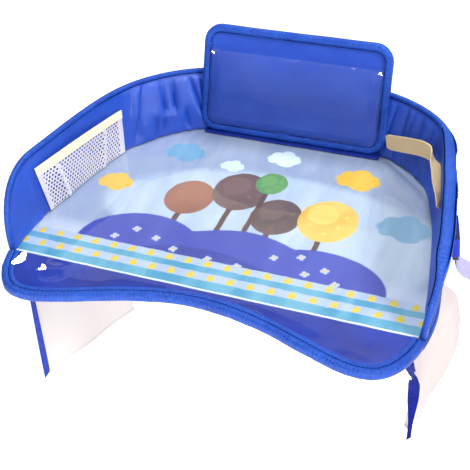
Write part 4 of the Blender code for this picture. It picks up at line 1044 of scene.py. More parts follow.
def pocket(u, z, extra=0.0):
    """Point of the net in front of the left wall; u from 0 at its front end."""
    u, z, extra = np.broadcast_arrays(np.asarray(u, float), np.asarray(z, float), np.asarray(extra, float))
    w = z / P_TALL
    foot = wall(P_FRONT[0] + (P_REAR[0] - P_FRONT[0]) * u, -1.6, 0.0 * z)
    a = wall(P_FRONT[1], -1.9, P_FRONT[2])
    b = wall(P_REAR[1], -1.9, P_REAR[2])
    curve = wall(P_FRONT[1] + (P_REAR[1] - P_FRONT[1]) * u, -1.9, P_FRONT[2] + (P_REAR[2] - P_FRONT[2]) * u)
    chord = (a + (b - a) * u[..., None]) * 0.25 + curve * 0.75
    chord[..., 2] += 2.2 * np.sin(math.pi * np.clip(u, 0, 1)) ** 0.8
    inner = wall(P_FRONT[0] + (P_REAR[0] - P_FRONT[0]) * u, 0.0 * z, 0.0 * z)
    base_n = -outline(P_FRONT[0] + (P_REAR[0] - P_FRONT[0]) * u)[1]
    bulge = 3.0 * np.sin(math.pi * np.clip(u, 0, 1)) ** 0.8 * (0.25 + 1.1 * w * (1.35 - w)) + 0.8 * np.sin(math.pi * np.clip(u, 0, 1)) * w
    P = foot + (chord - foot) * w[..., None]
    P[..., :2] += base_n * (bulge + extra)[..., None]
    return P


PLEATS = ((0.225, -0.0010), (0.745, 0.0012))


def net():
    cols, rws = 30, 12
    pitch, tall = P_LEN / cols, (POCKET_H - 0.6) / rws
    index, V, F, R = {}, [], [], []

    def point(x, y):
        key = (round(x * 64 / pitch), round(y * 64 / tall))
        if key not in index:
            index[key] = len(V)
            V.append((x, y))
        return index[key]

    for r in range(rws):
        shift = 0.5 * (r % 2)
        if shift:
            for x0, x1 in ((0.0, pitch / 2), (P_LEN - pitch / 2, P_LEN)):
                F.append([point(x0, r * tall), point(x1, r * tall), point(x1, (r + 1) * tall), point(x0, (r + 1) * tall)])
        for c in range(cols - (1 if shift else 0)):
            x0, y0 = (c + shift) * pitch, r * tall
            cx, cy = x0 + pitch / 2, y0 + tall / 2
            u = cx / P_LEN
            size = 0.335 * pitch * min(smooth((u - 0.012) / 0.05), smooth((0.962 - u) / 0.03))
            for u0, k in PLEATS:
                size *= 1 - 0.9 * bell(u - u0 - k * (cy - 20), 0.015)
            size *= 1 + 0.12 * float(noise1(c * 1.7 + r * 5.3, 61))
            size = max(size, 0.10)
            rim = [(x0, y0), (cx, y0), (x0 + pitch, y0), (x0 + pitch, cy), (x0 + pitch, y0 + tall), (cx, y0 + tall),
                   (x0, y0 + tall), (x0, cy)]
            out = [point(*q) for q in rim]
            hole = []
            for q in rim:
                a = math.atan2(q[1] - cy, q[0] - cx)
                hole.append(len(V))
                V.append((cx + size * 0.95 * math.cos(a), cy + size * 1.05 * math.sin(a)))
            for k in range(8):
                F.append([out[k], out[(k + 1) % 8], hole[(k + 1) % 8], hole[k]])
    return np.array(V), F


flat_net, F = net()
u = flat_net[:, 0] / P_LEN
z = flat_net[:, 1] + 0.6
extra = 0.0
for u0, k in PLEATS:
    d = (u - u0 - k * (z - 20)) * P_LEN
    extra = extra + 1.7 * np.where(d < 0, bell(d, 5.0), bell(d, 1.8))
extra = extra + 0.5 * noise2(u * 9, z / 14, 62) * np.sin(math.pi * np.clip(u, 0, 1)) * np.sin(math.pi * z / 46)
V3 = pocket(u, z, extra)
# thickness from the slope of the smooth surface
e = 0.004
Nn = unit(np.cross(pocket(u + e, z) - pocket(u - e, z), pocket(u, z + 0.5) - pocket(u, z - 0.5)))
t = 0.42
n0 = len(V3)
edges = {}
for f in F:
    for a, b in zip(f, f[1:] + f[:1]):
        edges.setdefault((min(a, b), max(a, b)), []).append((a, b))
faces = [list(f) for f in F] + [[i + n0 for i in f][::-1] for f in F]
for key, uses in edges.items():
    if len(uses) == 1:
        a, b = uses[0]
        faces.append([b, a, a + n0, b + n0])
allv = np.vstack([V3 + Nn * t / 2, V3 - Nn * t / 2])
flat2 = np.vstack([flat_net, flat_net])
net_ob = make("mesh_pocket_net", allv, faces, np.concatenate([flat2[f] for f in faces]), M_NET, "tray", 60)
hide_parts("mesh_pocket")

us = np.linspace(0, 1, 90)
vs = np.linspace(0, 1, 21)
U, Vv = np.meshgrid(us, vs, indexing="ij")
gather = 0.35 * noise1(U * 26, 63) + 0.25 * np.sin(U * 120)
band = pocket(U, POCKET_H - 0.2 + (POCKET_BAND + 0.4) * Vv, 0.25 + 0.2 * gather * np.sin(math.pi * U))
rib = 1.15 + 0.35 * np.abs(np.sin(math.pi * Vv * 5))
elastic = cloth("pocket_elastic_band", band, rib, M_ELASTIC, "tray")
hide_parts("pocket_elastic")
# sewn ends of the band and the selvedge of the net, and a loose thread end
for nm, uu in (("front", 0.012), ("rear", 0.985)):
    zz = np.linspace(2, POCKET_H + POCKET_BAND - 1.5, 30)
    path = pocket(np.full_like(zz, uu), zz, 0.9)
    up = -np.concatenate([outline(P_FRONT[0] - P_LEN * np.full_like(zz, uu))[1], np.zeros((30, 1))], 1)
    stitches("pocket_stitches_" + nm, path, up, M_WHITE_THREAD, "tray", 2.6, 2.0, 0.6, 0.3)
k = np.linspace(0, 1, 16)
end0 = pocket(np.array([0.0]), np.array([POCKET_H + POCKET_BAND - 1.0]), 1.0)[0]
curl = end0 + np.stack([2.2 * np.sin(2.4 * k), -3.0 * k - 1.2 * np.sin(3 * k), 5.5 * k - 1.5 * k ** 2], -1)
circle = [(0.35 * math.cos(a), 0.35 * math.sin(a)) for a in np.linspace(0, 2 * math.pi, 6, endpoint=False)]
Tc = unit(np.gradient(curl, axis=0))
Ac = unit(np.cross(Tc, [0.3, 0.9, 0.1]))
tube("pocket_thread_end", beside(curl, Ac, np.cross(Tc, Ac), circle), M_WHITE_THREAD, "tray", sharp=180)


# -------------------------------------------------------------------- toy loop
loop_path = open_spline([(102.0, 147.0, 26.0), (112.0, 139.5, 30.5), (128.0, 126.5, 38.5), (143.3, 113.5, 46.0),
                         (156.5, 98.5, 51.0), (163.0, 88.0, 48.5), (168.5, 73.0, 42.5), (172.3, 58.0, 35.5),
                         (174.6, 46.5, 27.5)], 96)
Tl = unit(np.gradient(loop_path, axis=0))
far = np.linspace(0, 1, 96)
up = np.array([0, 0, 1.0]) - Tl * Tl[:, 2:]
up = unit(up)
side = np.cross(Tl, up)
tilt = -0.10 * np.sin(math.pi * np.clip(far / 0.5, 0, 1)) + 0.95 * smooth((far - 0.50) / 0.16) - 0.55 * smooth((far - 0.80) / 0.2)
W = up * np.cos(tilt)[:, None] + side * np.sin(tilt)[:, None]
width = 16.4 - 1.0 * smooth((far - 0.52) / 0.1) - 8.5 * smooth((far - 0.76) / 0.24) - 3.0 * (1 - smooth(far / 0.05))
vv = np.linspace(-0.5, 0.5, 17)
L = loop_path[:, None] + W[:, None] * (vv[None, :, None] * width[:, None, None])
rib = 1.0 + 0.28 * np.abs(np.sin(math.pi * (vv + 0.5) * 4))
loop = cloth("toy_loop_band", L, np.broadcast_to(rib, (96, 17)), M_LOOP, "tray")
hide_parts("toy_loop_front", "toy_loop_rear")
for nm, i in (("front", 2), ("rear", 92)):
    path = L[i, 1:-1]
    nn = np.cross(Tl[i], W[i])
    nn = np.tile(nn if nn @ np.array([-1.0, -1.0, 0.4]) > 0 else -nn, (15, 1))
    stitches("toy_loop_stitches_" + nm, path + nn * 0.6, nn, M_WHITE_THREAD, "tray", 2.4, 1.9, 0.6, 0.3)


# ---------------------------------------------------------------- clear pocket
def round_rect(d, step=2.0):
    """Evenly spaced loop of the pocket's outline moved in by d, with normals."""
    w, h, r = HOLD_W / 2 - d, HOLD_H, HOLD_R - d
    pts, nrm = [], []
    corners = ((w - r, d + r, -90), (w - r, h - d - r, 0), (-w + r, h - d - r, 90), (-w + r, d + r, 180))
    for k, (cu, cv, a0) in enumerate(corners):
        for i in range(25):
            a = math.radians(a0 + 90 * i / 24)
            pts.append((cu + r * math.cos(a), cv + r * math.sin(a)))
            nrm.append((math.cos(a), math.sin(a)))
    p = np.array(pts + pts[:1])
    nn = np.array(nrm + nrm[:1])
    c = np.r_[0, np.cumsum(np.linalg.norm(np.diff(p, axis=0), axis=1))]
    k = int(c[-1] / step)
    q = np.arange(k) * c[-1] / k
    pick = lambda A: np.stack([np.interp(q, c, A[:, 0]), np.interp(q, c, A[:, 1])], -1)
    return pick(p), unit(pick(nn))


def upright(n, wave=None):
    def f(u, v):
        return hold(u, n if wave is None else n + wave(u, v), v)
    return f


hl, _ = round_rect(1.3)
soft_lining = lambda u, v: 0.22 * noise2(u / 20, v / 24, 71) + 0.12 * noise2(u / 7, v / 11, 72)
lining = disc("holder_lining_cloth", hl, (0.0, 58.0), 40, upright(1.5), upright(1.0, soft_lining), M_HOLDER, "holder")
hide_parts("holder_lining")
rear_soft = lambda u, v: 0.5 * (1 - np.clip(np.abs(u) / 96, 0, 1) ** 3) * (1 - np.clip(np.abs(v - 58) / 54, 0, 1) ** 3) \
    + 0.15 * noise2(u / 24, v / 24, 73)
back_cover = disc("holder_back_cloth", hl, (0.0, 58.0), 30, upright(4.1), upright(4.6, rear_soft), M_WALL_OUT, "holder")
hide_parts("holder_back_cover")

hp, hn = round_rect(0.0)
zero = np.zeros(len(hp))
path = hold(hp[:, 0], zero, hp[:, 1])
Ah = hold(hn[:, 0], zero, hn[:, 1]) - hold(0.0, 0.0, 0.0)
Bh = np.tile(hold(0.0, 1.0, 0.0) - hold(0.0, 0.0, 0.0), (len(hp), 1))
hold_prof = chaikin([(-7.9, -0.3), (-8.1, -0.7), (-7.7, -0.95), (-6.9, -0.85), (-6.3, -0.95), (-5.2, -1.5),
                     (-3.4, -1.95), (-1.4, -1.8), (0.4, -0.8), (1.1, 1.4), (1.0, 3.6), (0.2, 5.4),
                     (-1.6, 6.2), (-3.6, 6.1), (-5.6, 5.5), (-6.4, 5.25), (-7.0, 5.45), (-8.0, 5.5), (-8.2, 5.0),
                     (-1.7, 4.95), (-0.5, 4.0), (-0.4, 0.6), (-1.6, -0.25)])
hq = np.repeat(hold_prof[None], len(hp), 0)
run_h = np.arange(len(hp)) * 2.0
hq[..., 0] += (0.22 * noise1(run_h / 15, 75))[:, None] * (hold_prof[:, 0] > -2)
hq[..., 1] += (0.16 * noise1(run_h / 8, 76))[:, None] * np.where(hold_prof[:, 1] < 0, 1, 0)
# where the tape's two ends overlap at the foot
lap = ((hp[:, 1] < 1.0) & (hp[:, 0] > -14) & (hp[:, 0] < -2)).astype(float)
grow = np.where(hold_prof[:, 1] < 0.4, -0.55, 0.0)
hq[..., 1] += lap[:, None] * grow
hold_tape = tube("holder_edge_tape", beside(path, Ah, Bh, hq), M_TAPE, "holder", ring=True)
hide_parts("holder_binding", "holder_top_binding")
ring = lambda r, n: np.vstack([beside(path, Ah, Bh, [(r, n)])[:, 0]] * 1 + [beside(path, Ah, Bh, [(r, n)])[:1, 0]])
ringn = lambda A: np.vstack([A, A[:1]])
stitches("holder_tape_stitches", ring(-6.9, -0.82), ringn(-Bh), M_SEAM_AND_SHADE, "holder", 3.0, 2.3, 1.15, 0.44)
# a dense dark row under the stitches: painted shade of the groove
stitches("holder_tape_groove_painted_shade", ring(-6.9, -0.80), ringn(-Bh), M_THREAD, "holder", 1.5, 2.1, 0.8, 0.18)
stitches("holder_tape_cross_stitches", ring(-3.6, -1.86), ringn(-Bh), M_LIGHT_THREAD_AND_HIGHLIGHT, "holder", 2.0, 2.2, 0.42, 0.16, slant=1.1)
stitches("holder_tape_stitches_rear", ring(-6.4, 5.35), ringn(Bh), M_THREAD, "holder", 3.2, 2.4)

# clear window: sewn at its sides and foot, open along its upper edge
vrow = np.r_[np.linspace(1.3, 30, 34), np.linspace(31.5, WINDOW_TOP - 0.4, 36)]
qcol = np.linspace(-1, 1, 101)
rowsP = []
for v in vrow:
    dv = max(HOLD_R - v, 0.0)
    half = HOLD_W / 2 - HOLD_R + math.sqrt(max((HOLD_R - 1.3) ** 2 - dv ** 2, 0.0))
    k = np.sign(qcol) * (1 - (1 - np.abs(qcol)) ** 1.5)
    uu = half * k
    side = smooth((half - np.abs(uu) - TAPE_LEG - 0.5) / HOLD_MARGIN)
    foot = smooth((v - TAPE_LEG - 0.0) / HOLD_MARGIN)
    amt = side * foot
    nn = 0.2 - HOLD_RAISE * amt + amt * (0.14 * noise2(uu / 26, v / 30, 77) + 0.04 * noise2(uu / 9, v / 14, 78))
    rowsP.append(hold(uu, nn, v))
window = cloth("holder_window_film", np.array(rowsP), 0.32, M_WINDOW, "holder")
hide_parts("holder_window")
uu = np.linspace(-0.86, 0.86, 90) * (HOLD_W / 2 - 1.3)
side = smooth((HOLD_W / 2 - 1.3 - np.abs(uu) - TAPE_LEG - 1.5) / HOLD_MARGIN)
lipc = hold(uu, 0.2 - HOLD_RAISE * side, WINDOW_TOP + 0.5)
Tl2 = unit(np.gradient(lipc, axis=0))
Bl = np.tile(hold(0.0, 0.0, 1.0) - hold(0.0, 0.0, 0.0), (90, 1))
Al = unit(np.cross(Tl2, Bl))
bead = chaikin([(-0.5, -1.3), (0.5, -1.3), (0.62, 0.0), (0.45, 0.95), (-0.45, 0.95), (-0.62, 0.0)])
lip = tube("window_lip_film", beside(lipc, Al, Bl, bead), M_WINDOW, "holder", sharp=180)
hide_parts("window_lip")

# small creases in the window's two upper corners
for name, turn, slope, at in (("left", -2.489, 1.0188, (-91.2, 86.8)), ("right", -2.3463, 0.8699, (91.0, 87.4))):
    cut = np.array([(-0.9, -1.6), (0.1, -2.6), (0.9, -2.0), (1.0, 0.4), (0.6, 2.3), (-0.2, 2.6), (-0.8, 1.2)])
    c, q = math.cos(turn), math.sin(turn)
    cu, cv = at[0] + cut[:, 0] * c - cut[:, 1] * q, at[1] + cut[:, 0] * q + cut[:, 1] * c
    rise = 0.1 + slope * (cut[:, 0] - cut[:, 0].min())
    verts = np.vstack([hold(cu, np.full(7, 0.05), cv), hold(cu, 0.05 - rise, cv)])
    faces = [list(range(7))[::-1], list(range(7, 14))] + [[i, (i + 1) % 7, (i + 1) % 7 + 7, i + 7] for i in range(7)]
    make("window_corner_fold_" + name, verts, faces, np.concatenate([verts[f][:, [0, 2]] for f in faces]), M_FOLD,
         "holder", 12.0)

# cloth hinge: flat on the panel, then up behind the foot of the pocket
hx = np.linspace(-98.0, 98.0, 120) + HOLD_PIVOT[0]
sect = open_spline([(138.2, 7.75), (139.4, 8.15), (141.4, 8.3), (143.0, 8.35), (145.6, 8.8), (148.0, 10.2), (150.0, 12.8),
                    (151.0, 16.5)], 26)
bow = 0.35 * noise1(hx / 9, 81)
G3 = np.stack([np.repeat(hx[:, None], 26, 1), sect[None, :, 0] + 0.5 * bow[:, None] * np.linspace(1, 0, 26),
               sect[None, :, 1] + 0.35 * (noise1(hx / 6, 82)[:, None] + 1) * np.sin(math.pi * np.linspace(0, 1, 26))], -1)
hinge = cloth("holder_hinge_cloth", G3, 0.6, M_HINGE, None)
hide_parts("holder_hinge_strip")
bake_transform(hinge)
path = np.stack([hx, np.full_like(hx, 139.6), np.full_like(hx, 8.5)], -1)
stitches("hinge_stitches", path, np.tile([0, 0, 1.0], (120, 1)), M_THREAD, "tray", 3.2, 2.4)


# ----------------------------------------------------------------- belt halves
def belt_axes(side):
    s = arc_at_y(44.0, 0.2, 0.5)
    p, n = outline(np.array(s))
    lean = float(wall_size(np.array(s))[1])
    base = p + n * (-WALL_INSET + WALL_T)
    m = 1.0 if side == "right" else -1.0
    o = np.array([m * base[0], base[1], TOP])
    ex = np.array([m * n[0], n[1], 0.0])
    ez = np.array([0.0, 0.0, 1.0])
    return o, ex, np.cross(ez, ex), ez, lean


def belt_line(z, lean):
    return lean * BELT_TOP + BELT_OUT + (BELT_TOP - z) * math.tan(math.radians(BELT_LEAN))


def belt_path(lean):
    pts = [(belt_line(z, lean), z) for z in (BELT_TOP, 40.0, 20.0, 0.0, -12.0, -27.0)]
    x0 = pts[-1][0]
    bend = [(x0 + 2.6, -38.0), (x0 + 9.0, -46.5), (x0 + 18.5, -52.5), (x0 + 27.0, -60.5),
            (x0 + 31.6, -74.0), (x0 + 33.0, -92.0), (x0 + 33.0, -110.0), (x0 + 33.0, BUCKLE_Z)]
    path = [np.array(q) for q in pts[:-2]] + list(open_spline(pts[-2:] + bend, 60))
    r = 2.7
    cx, cz = path[-1][0] + r, path[-1][1]
    for i in range(1, 13):
        a = math.pi + math.pi * i / 12
        path.append(np.array([cx + r * math.cos(a), cz + r * math.sin(a)]))
    for dz in (4.0, 8.0, 15.0):
        path.append(np.array([cx + r, cz + dz]))
    return np.array(path)


def webbing():
    """Blue webbing that turns to a pale tone where it hangs free."""
    s = Shade("blue_webbing_pale_end", 0.6, Sheen_Weight=0.3, Sheen_Roughness=0.4)
    u, v = s.uv()
    rib = s.math("MULTIPLY", s.wave(v, 4.0), 0.6)
    pick = s.math("MULTIPLY", s.wave(u, 1.7), s.wave(v, 2.0))
    h = s.math("ADD", rib, pick)
    f = s.math("ADD", s.scale(h, -1.4, 1.4, 0.45, 0.0), s.scale(s.noise(60.0, 3.0), 0.35, 0.65, 0.0, 0.25))
    dark = s.mix(f, lin(34, 54, 190), lin(14, 22, 108))
    pale = s.mix(f, lin(178, 174, 214), lin(148, 142, 196))
    col = s.mix(s.step(u, 86.0, 96.0), dark, pale)
    return s.finish(col, s.bump(h, 0.22, 0.6))


M_WEB2 = webbing()
M_WEB_DARK = ribbed("webbing_keeper", lin(30, 56, 200), lin(12, 24, 124), 1.4, 0.55, 0.2, 0.16, along=True, cross=0.9)
for side in ("right", "left"):
    o, ex, ey, ez, lean = belt_axes(side)
    path2 = belt_path(lean)
    p3 = o + path2[:, :1] * ex + path2[:, 1:] * ez
    fine = even(p3, 1.6)
    Tb = unit(np.gradient(fine, axis=0))
    Nb = unit(np.cross(Tb, ey))
    w = np.linspace(-14, 14, 29)
    ripple_b = 0.18 * noise1(np.arange(len(fine)) / 9.0, 91)[:, None] * np.cos(w / 14 * 2.2)
    Pb = fine[:, None] + ey[None, None] * w[None, :, None] + Nb[:, None] * ripple_b[..., None]
    thick = 1.18 + 0.22 * np.abs(np.sin(math.pi * (w + 14) / 4.0))
    web = cloth("belt_webbing_" + side + "_woven", Pb, np.broadcast_to(thick, (len(fine), 29)), M_WEB2, "tray")
    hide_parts("belt_webbing_" + side)
    # patch over the upper end, sewn with a box of stitches
    lr = math.radians(BELT_LEAN)
    ux = -ex * math.sin(lr) + ez * math.cos(lr)
    nx = ex * math.cos(lr) + ez * math.sin(lr)
    c0 = o + ex * belt_line(50.0, lean) + ez * 50.0
    a, b = np.meshgrid(np.linspace(-1, 1, 37), np.linspace(-1, 1, 19), indexing="ij")
    lift_p = 1.55 * (1 - np.abs(a) ** 8 * 0.45) * (1 - np.abs(b) ** 6 * 0.3) + 0.12 * noise2(a * 4, b * 3, 92)
    Pp = c0 + ey * (18.0 * a)[..., None] + ux * (-0.25 + 6.9 * b)[..., None] + nx * lift_p[..., None]
    patch = cloth("belt_patch_" + side + "_cloth", Pp, 0.7, M_TAPE, "tray")
    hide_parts("belt_anchor_patch_" + side)
    box_path = []
    for (a0, b0), (a1, b1) in (((-15.5, -5.2), (15.5, -5.2)), ((15.5, -5.2), (15.5, 5.0)), ((15.5, 5.0), (-15.5, 5.0)),
                               ((-15.5, 5.0), (-15.5, -5.2))):
        for q in np.linspace(0, 1, 12)[:-1]:
            box_path.append(c0 + ey * (a0 + (a1 - a0) * q) + ux * (b0 + (b1 - b0) * q) + nx * 1.95)
    stitches("belt_patch_stitches_" + side, np.array(box_path), np.tile(nx, (len(box_path), 1)), M_THREAD, "tray", 2.8, 2.2)
    # bar tack across the webbing under the patch
    cb = o + ex * belt_line(38.0, lean) + ez * 38.0
    tack = np.array([cb + ey * q + nx * 0.8 for q in np.linspace(-13, 13, 27)])
    stitches("belt_bar_tack_" + side, tack, np.tile(nx, (27, 1)), M_THREAD, "tray", 1.3, 2.6, 0.7, 0.3, slant=1.2)
    # and the row that closes the loop round the buckle bar
    cz = o + ex * (path2[-1, 0] - 2.7 - 2.7) + ez * (BUCKLE_Z + 13.0)
    close = np.array([cz - ex * 0.8 + ey * q for q in np.linspace(-13, 13, 27)])
    stitches("belt_loop_stitches_" + side, close, np.tile(-ex, (27, 1)), M_THREAD, "tray", 2.6, 2.0)

    # woven keeper round the slider, open above and below
    zc = -12.0
    c1 = o + ex * belt_line(zc, lean) + ez * zc
    half_x, half_y, rr_k = 3.75, 19.3, 2.2
    loop_k = []
    for sx, sy, a0 in ((1, 1, 0), (-1, 1, 90), (-1, -1, 180), (1, -1, 270)):
        for i in range(7):
            a = math.radians(a0 + 15 * i)
            loop_k.append((sx * (half_x - rr_k) + rr_k * math.cos(a), sy * (half_y - rr_k) + rr_k * math.sin(a)))
    loop_k = closed_even(np.array(loop_k), 96)
    tall_k = np.linspace(-7.4, 12.9, 15)
    sag_k = 0.12 * noise1(np.arange(96) / 7.0, 94)
    K = c1 + (ex * math.cos(lr) + ez * math.sin(lr)) * loop_k[:, None, :1] + ey * loop_k[:, None, 1:] \
        + ux * (tall_k[None, :] + sag_k[:, None])[..., None]
    keeper = cloth("slider_" + side + "_keeper", K, 0.8, M_WEB_DARK, "slider_" + side, ring=True)


# ------------------------------------------------------------------ side flaps
def flap(side, b, d):
    """Point of a flap: b 0 at its front edge, 1 at its rear; d is mm down it."""
    m = 1.0 if side == "right" else -1.0
    x = FLAP_A[0] + (FLAP_B[0] - FLAP_A[0]) * b
    y = FLAP_A[1] + (FLAP_B[1] - FLAP_A[1]) * b
    depth = FLAP_DROP[0] + (FLAP_DROP[1] - FLAP_DROP[0]) * b
    t = np.clip(d / depth, 0, 1)
    if side == "right":
        flare = 38 * np.sin(math.pi * np.clip(d / 196, 0, 1)) ** 0.65 * smooth((b - 0.12) / 0.88) ** 1.2 \
            * smooth((d - 22) / 34)
        swing = 46 * np.sin(math.pi * np.clip(d / 230, 0, 1)) ** 1.4 * (1 - b) ** 1.6
        curl = 5.0 * np.sin(2 * math.pi * (b * 2.2 + 0.1)) * t ** 1.5 * (1 - b) \
            + 2.0 * noise2(b * 5, d / 60, 101) * t * smooth((d - 20) / 20)
        ox, oy = flare + curl, swing
        lift = (0.06 * flare + 0.18 * swing) * smooth((d - 18) / 30)
    else:
        curl = 3.4 * np.sin(2 * math.pi * (b * 1.3 + 0.12)) * t ** 1.4 + 1.5 * noise2(b * 4 + 7, d / 70, 102) * t
        ox, oy = -9.0 * t * b + 0.45 * curl, 3.0 * t * (1 - b)
        lift = 0.0
    return np.stack([m * (x + ox), y + oy, -1.9 - d + lift], -1)


for side in ("right", "left"):
    m = 1.0 if side == "right" else -1.0
    b, t = np.meshgrid(np.linspace(0, 1, 64), np.linspace(0, 1, 72), indexing="ij")
    first = 0.0 if side == "right" else 1.0
    b = first * (0.085 - 0.05 * t) + b * (1.0 + first * (0.10 * smooth((t - 0.28) / 0.5) - 0.085 + 0.05 * t))
    depth = FLAP_DROP[0] + (FLAP_DROP[1] - FLAP_DROP[0]) * b
    P = flap(side, b, t * depth)
    body = "flap_" + side
    # the right flap and its ribbon take the darker copies: painted shade
    flap_mat, ribbon_mat = (M_FLAP_SHADED, M_RIBBON_SHADED) if side == "right" else (M_FLAP, M_RIBBON)
    fl = cloth("side_flap_" + side + "_cloth", P, 0.5, flap_mat, body)
    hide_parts("side_flap_" + side)
    # rolled hem along the lower edge
    low_edge = P[:, -1]
    Tf = unit(np.gradient(low_edge, axis=0))
    Af = unit(np.cross(Tf, [0, 0, 1.0]))
    hem_p = chaikin([(-0.5, -0.1), (-0.5, 3.0), (0.5, 3.0), (0.5, -0.1), (0.25, -0.5), (-0.25, -0.5)])
    tube("side_flap_" + side + "_edge_hem", beside(low_edge, Af, np.tile([0, 0, 1.0], (64, 1)), hem_p), flap_mat, body)
    # narrow ribbon down the front edge
    dd = np.linspace(1.5, FLAP_DROP[0] + 3.0, 80)
    edge_l = flap(side, first * (0.085 - 0.05 * dd / FLAP_DROP[0]), dd)
    if side == "right":
        turn = 0.1 + 1.3 * smooth((dd - 13) / 7) - 1.3 * smooth((dd - 38) / 18) + 1.5 * smooth((dd - 60) / 16)
        wide = 8.0 - 2.4 * smooth((dd - 32) / 22) + 5.0 * smooth((dd - 62) / 22) - 6.8 * smooth((dd - 104) / 46)
    else:
        turn = 0.35 + 0.5 * np.sin(dd / 52)
        wide = 4.3 + 2.4 * smooth(dd / 150)
    Tr = unit(np.gradient(edge_l, axis=0))
    e1 = unit(np.cross(Tr, [m, 0.0, 0.0]))
    e1 = e1 * np.where(e1[:, 1:2] > 0, -1, 1)
    e2 = np.cross(Tr, e1)
    Wr = e1 * np.cos(turn)[:, None] + e2 * np.sin(turn)[:, None]
    w = np.linspace(-0.5, 0.5, 7)
    Rb = (edge_l + e1 * 2.4)[:, None] + Wr[:, None] * (w[None, :, None] * wide[:, None, None])
    Rb[-4:, :, 2] -= (w[None, :] * np.array([1.0, 2.2, 3.6, 5.0])[:, None])
    rb = cloth("flap_ribbon_" + side + "_band", Rb, 0.8, ribbon_mat, body)
    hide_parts("flap_ribbon_" + side)
    # hem strip flat under the panel
    A2, B2 = np.array(FLAP_A), np.array(FLAP_B)
    dirv = (B2 - A2) / np.linalg.norm(B2 - A2)
    nrm = np.array([dirv[1], -dirv[0]])
    k = np.linspace(0.06, 1.0, 60)
    ww = np.linspace(-4.6, 0.8, 9)
    xy = A2 + (B2 - A2) * k[:, None, None] + nrm * ww[None, :, None]
    zz = 0.3 + 0.12 * noise2(k[:, None] * 12, ww[None, :] / 4, 103)
    Hm = np.stack([m * xy[..., 0], xy[..., 1], zz * np.ones(xy.shape[:2])], -1)
    hm = cloth("flap_hem_" + side + "_tape", Hm, 0.5, M_UNDER, "tray")
    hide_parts("flap_hem_" + side)
    mid = Hm[:, 3] + np.array([0, 0, -0.35])
    stitches("flap_hem_stitches_" + side, mid, np.tile([0, 0, -1.0], (60, 1)), M_THREAD, "tray", 3.2, 2.4)

# ------------------------------------------------- carried-over hard CAD parts
for nm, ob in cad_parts.items():
    if ob.type != "MESH":
        continue
    if nm.startswith(("slider", "buckle")):
        mat = M_PLASTIC
    elif nm == "foam_pad":
        mat = M_FOAM
    elif "board" in nm:
        mat = M_BOARD
    else:
        continue
    for slot in ob.material_slots:
        slot.material = mat

# ------------------------------------------------------------- floor and light
FLOOR_Z = -0.52
bm = bmesh.new()
bmesh.ops.create_grid(bm, x_segments=2, y_segments=2, size=7.0)
me = bpy.data.meshes.new("floor")
bm.to_mesh(me)
bm.free()
floor = bpy.data.objects.new("floor", me)
floor.location = (0, 2.0, FLOOR_Z)
bpy.context.scene.collection.objects.link(floor)
fs = Shade("pale_floor", 0.9, Specular_IOR_Level=0.1)
fn = fs.noise(3.0, 3.0)
fs.p.inputs["Emission Color"].default_value = (1.0, 1.0, 1.0, 1.0)
fs.p.inputs["Emission Strength"].default_value = 0.44
me.materials.append(fs.finish(fs.mix(fs.scale(fn, 0.3, 0.7, 0, 1), (0.93, 0.93, 0.93, 1), (0.96, 0.96, 0.96, 1)),
                              fs.bump(fs.noise(300.0, 2.0), 0.2, 0.1)))

world = bpy.data.worlds.new("studio")
bpy.context.scene.world = world
world.use_nodes = True
wt = world.node_tree
for n in list(wt.nodes):
    wt.nodes.remove(n)
wo = wt.nodes.new("ShaderNodeOutputWorld")
bg = wt.nodes.new("ShaderNodeBackground")
tc = wt.nodes.new("ShaderNodeTexCoord")
sep = wt.nodes.new("ShaderNodeSeparateXYZ")
wt.links.new(tc.outputs["Generated"], sep.inputs[0])


def wmath(op, a, b=0.0, clamp=False):
    n = wt.nodes.new("ShaderNodeMath")
    n.operation, n.use_clamp = op, clamp
    for s, x in ((n.inputs[0], a), (n.inputs[1], b)):
        if isinstance(x, bpy.types.NodeSocket):
            wt.links.new(x, s)
        else:
            s.default_value = x
    return n.outputs[0]


def wstep(x, lo, hi):
    n = wt.nodes.new("ShaderNodeMapRange")
    n.interpolation_type, n.clamp = "SMOOTHSTEP", True
    wt.links.new(x, n.inputs["Value"])
    n.inputs["From Min"].default_value, n.inputs["From Max"].default_value = lo, hi
    return n.outputs["Result"]


# a bright room whose rear is dimmer, with one broad soft panel in that part
dx, dy, dz = sep.outputs[:3]
rear = wmath("MULTIPLY", wstep(dy, 0.10, 0.45), wmath("SUBTRACT", 1.0, wstep(dz, 0.78, 0.92)))
ratio = wmath("DIVIDE", dx, wmath("MAXIMUM", dy, 0.05))
tall = wmath("DIVIDE", dz, wmath("MAXIMUM", dy, 0.05))
left_edge = wmath("SUBTRACT", ratio, wmath("MULTIPLY", wmath("SUBTRACT", tall, 0.8), -0.25))
soft_box = wmath("MULTIPLY", wstep(left_edge, -0.73, -0.70), wmath("SUBTRACT", 1.0, wstep(ratio, 0.25, 0.35)))
soft_box = wmath("MULTIPLY", soft_box, wmath("MULTIPLY", wstep(tall, 0.35, 0.42), wmath("SUBTRACT", 1.0, wstep(tall, 1.16, 1.2))))
base = wmath("SUBTRACT", 0.54, wmath("MULTIPLY", rear, 0.40))
level_w = wmath("ADD", base, wmath("MULTIPLY", wmath("MULTIPLY", rear, soft_box), 0.80))
bg.inputs["Color"].default_value = (1.0, 1.0, 1.0, 1.0)
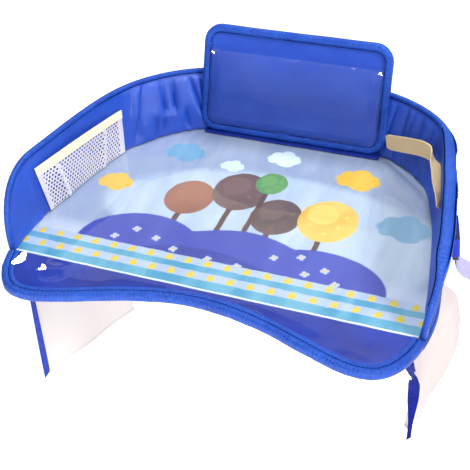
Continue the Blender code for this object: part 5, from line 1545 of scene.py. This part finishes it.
wt.links.new(level_w, bg.inputs["Strength"])
wt.links.new(bg.outputs[0], wo.inputs["Surface"])


def area(name, loc, aim, size, energy, size_y=None, color=(1, 1, 1)):
    d = bpy.data.lights.new(name, "AREA")
    d.energy, d.color = energy, color
    d.shape = "RECTANGLE" if size_y else "SQUARE"
    d.size = size
    if size_y:
        d.size_y = size_y
    ob = bpy.data.objects.new(name, d)
    bpy.context.scene.collection.objects.link(ob)
    ob.location = loc
    ob.rotation_euler = (Vector(aim) - Vector(loc)).to_track_quat("-Z", "Y").to_euler()
    return ob


area("key", (1.30, -0.45, 1.30), (0, 0, 0.03), 0.5, 29.0)
area("top", (-0.1, 0.15, 1.9), (0, 0, 0), 1.0, 11.0)
area("low_front", (0.0, -1.7, -0.37), (0, 0, -0.12), 1.2, 23.0, 0.24)
area("spark", (0.05, 0.60, 1.30), (-0.15, -0.1, 0.0), 0.24, 11.0)

# ---------------------------------------------------------------------- camera
cam_data = bpy.data.cameras.new("camera")
cam = bpy.data.objects.new("camera", cam_data)
bpy.context.scene.collection.objects.link(cam)
az, el, rl = 0.3964, 0.653, -0.0559
fwd = Vector((-math.sin(az) * math.cos(el), math.cos(az) * math.cos(el), -math.sin(el)))
right = fwd.cross(Vector((0, 0, 1))).normalized()
upv = right.cross(fwd)
r2 = right * math.cos(rl) + upv * math.sin(rl)
u2 = -right * math.sin(rl) + upv * math.cos(rl)
rot = Matrix((r2, u2, -fwd)).transposed()
cam.matrix_world = Matrix.Translation((0.2685891, -0.6727517, 0.5506619)) @ rot.to_4x4()
cam_data.sensor_fit = "HORIZONTAL"
cam_data.sensor_width = 36.0
cam_data.lens = 934.8991 / 470.0 * 36.0
cam_data.shift_x = 0.00212
cam_data.shift_y = -0.01246
cam_data.clip_start = 0.01
cam_data.clip_end = 50.0
bpy.context.scene.camera = cam

view = bpy.context.scene.view_settings
view.view_transform = "Standard"
view.look = "None"
bpy.context.scene.cycles.use_denoising = True

bpy.context.view_layer.update()
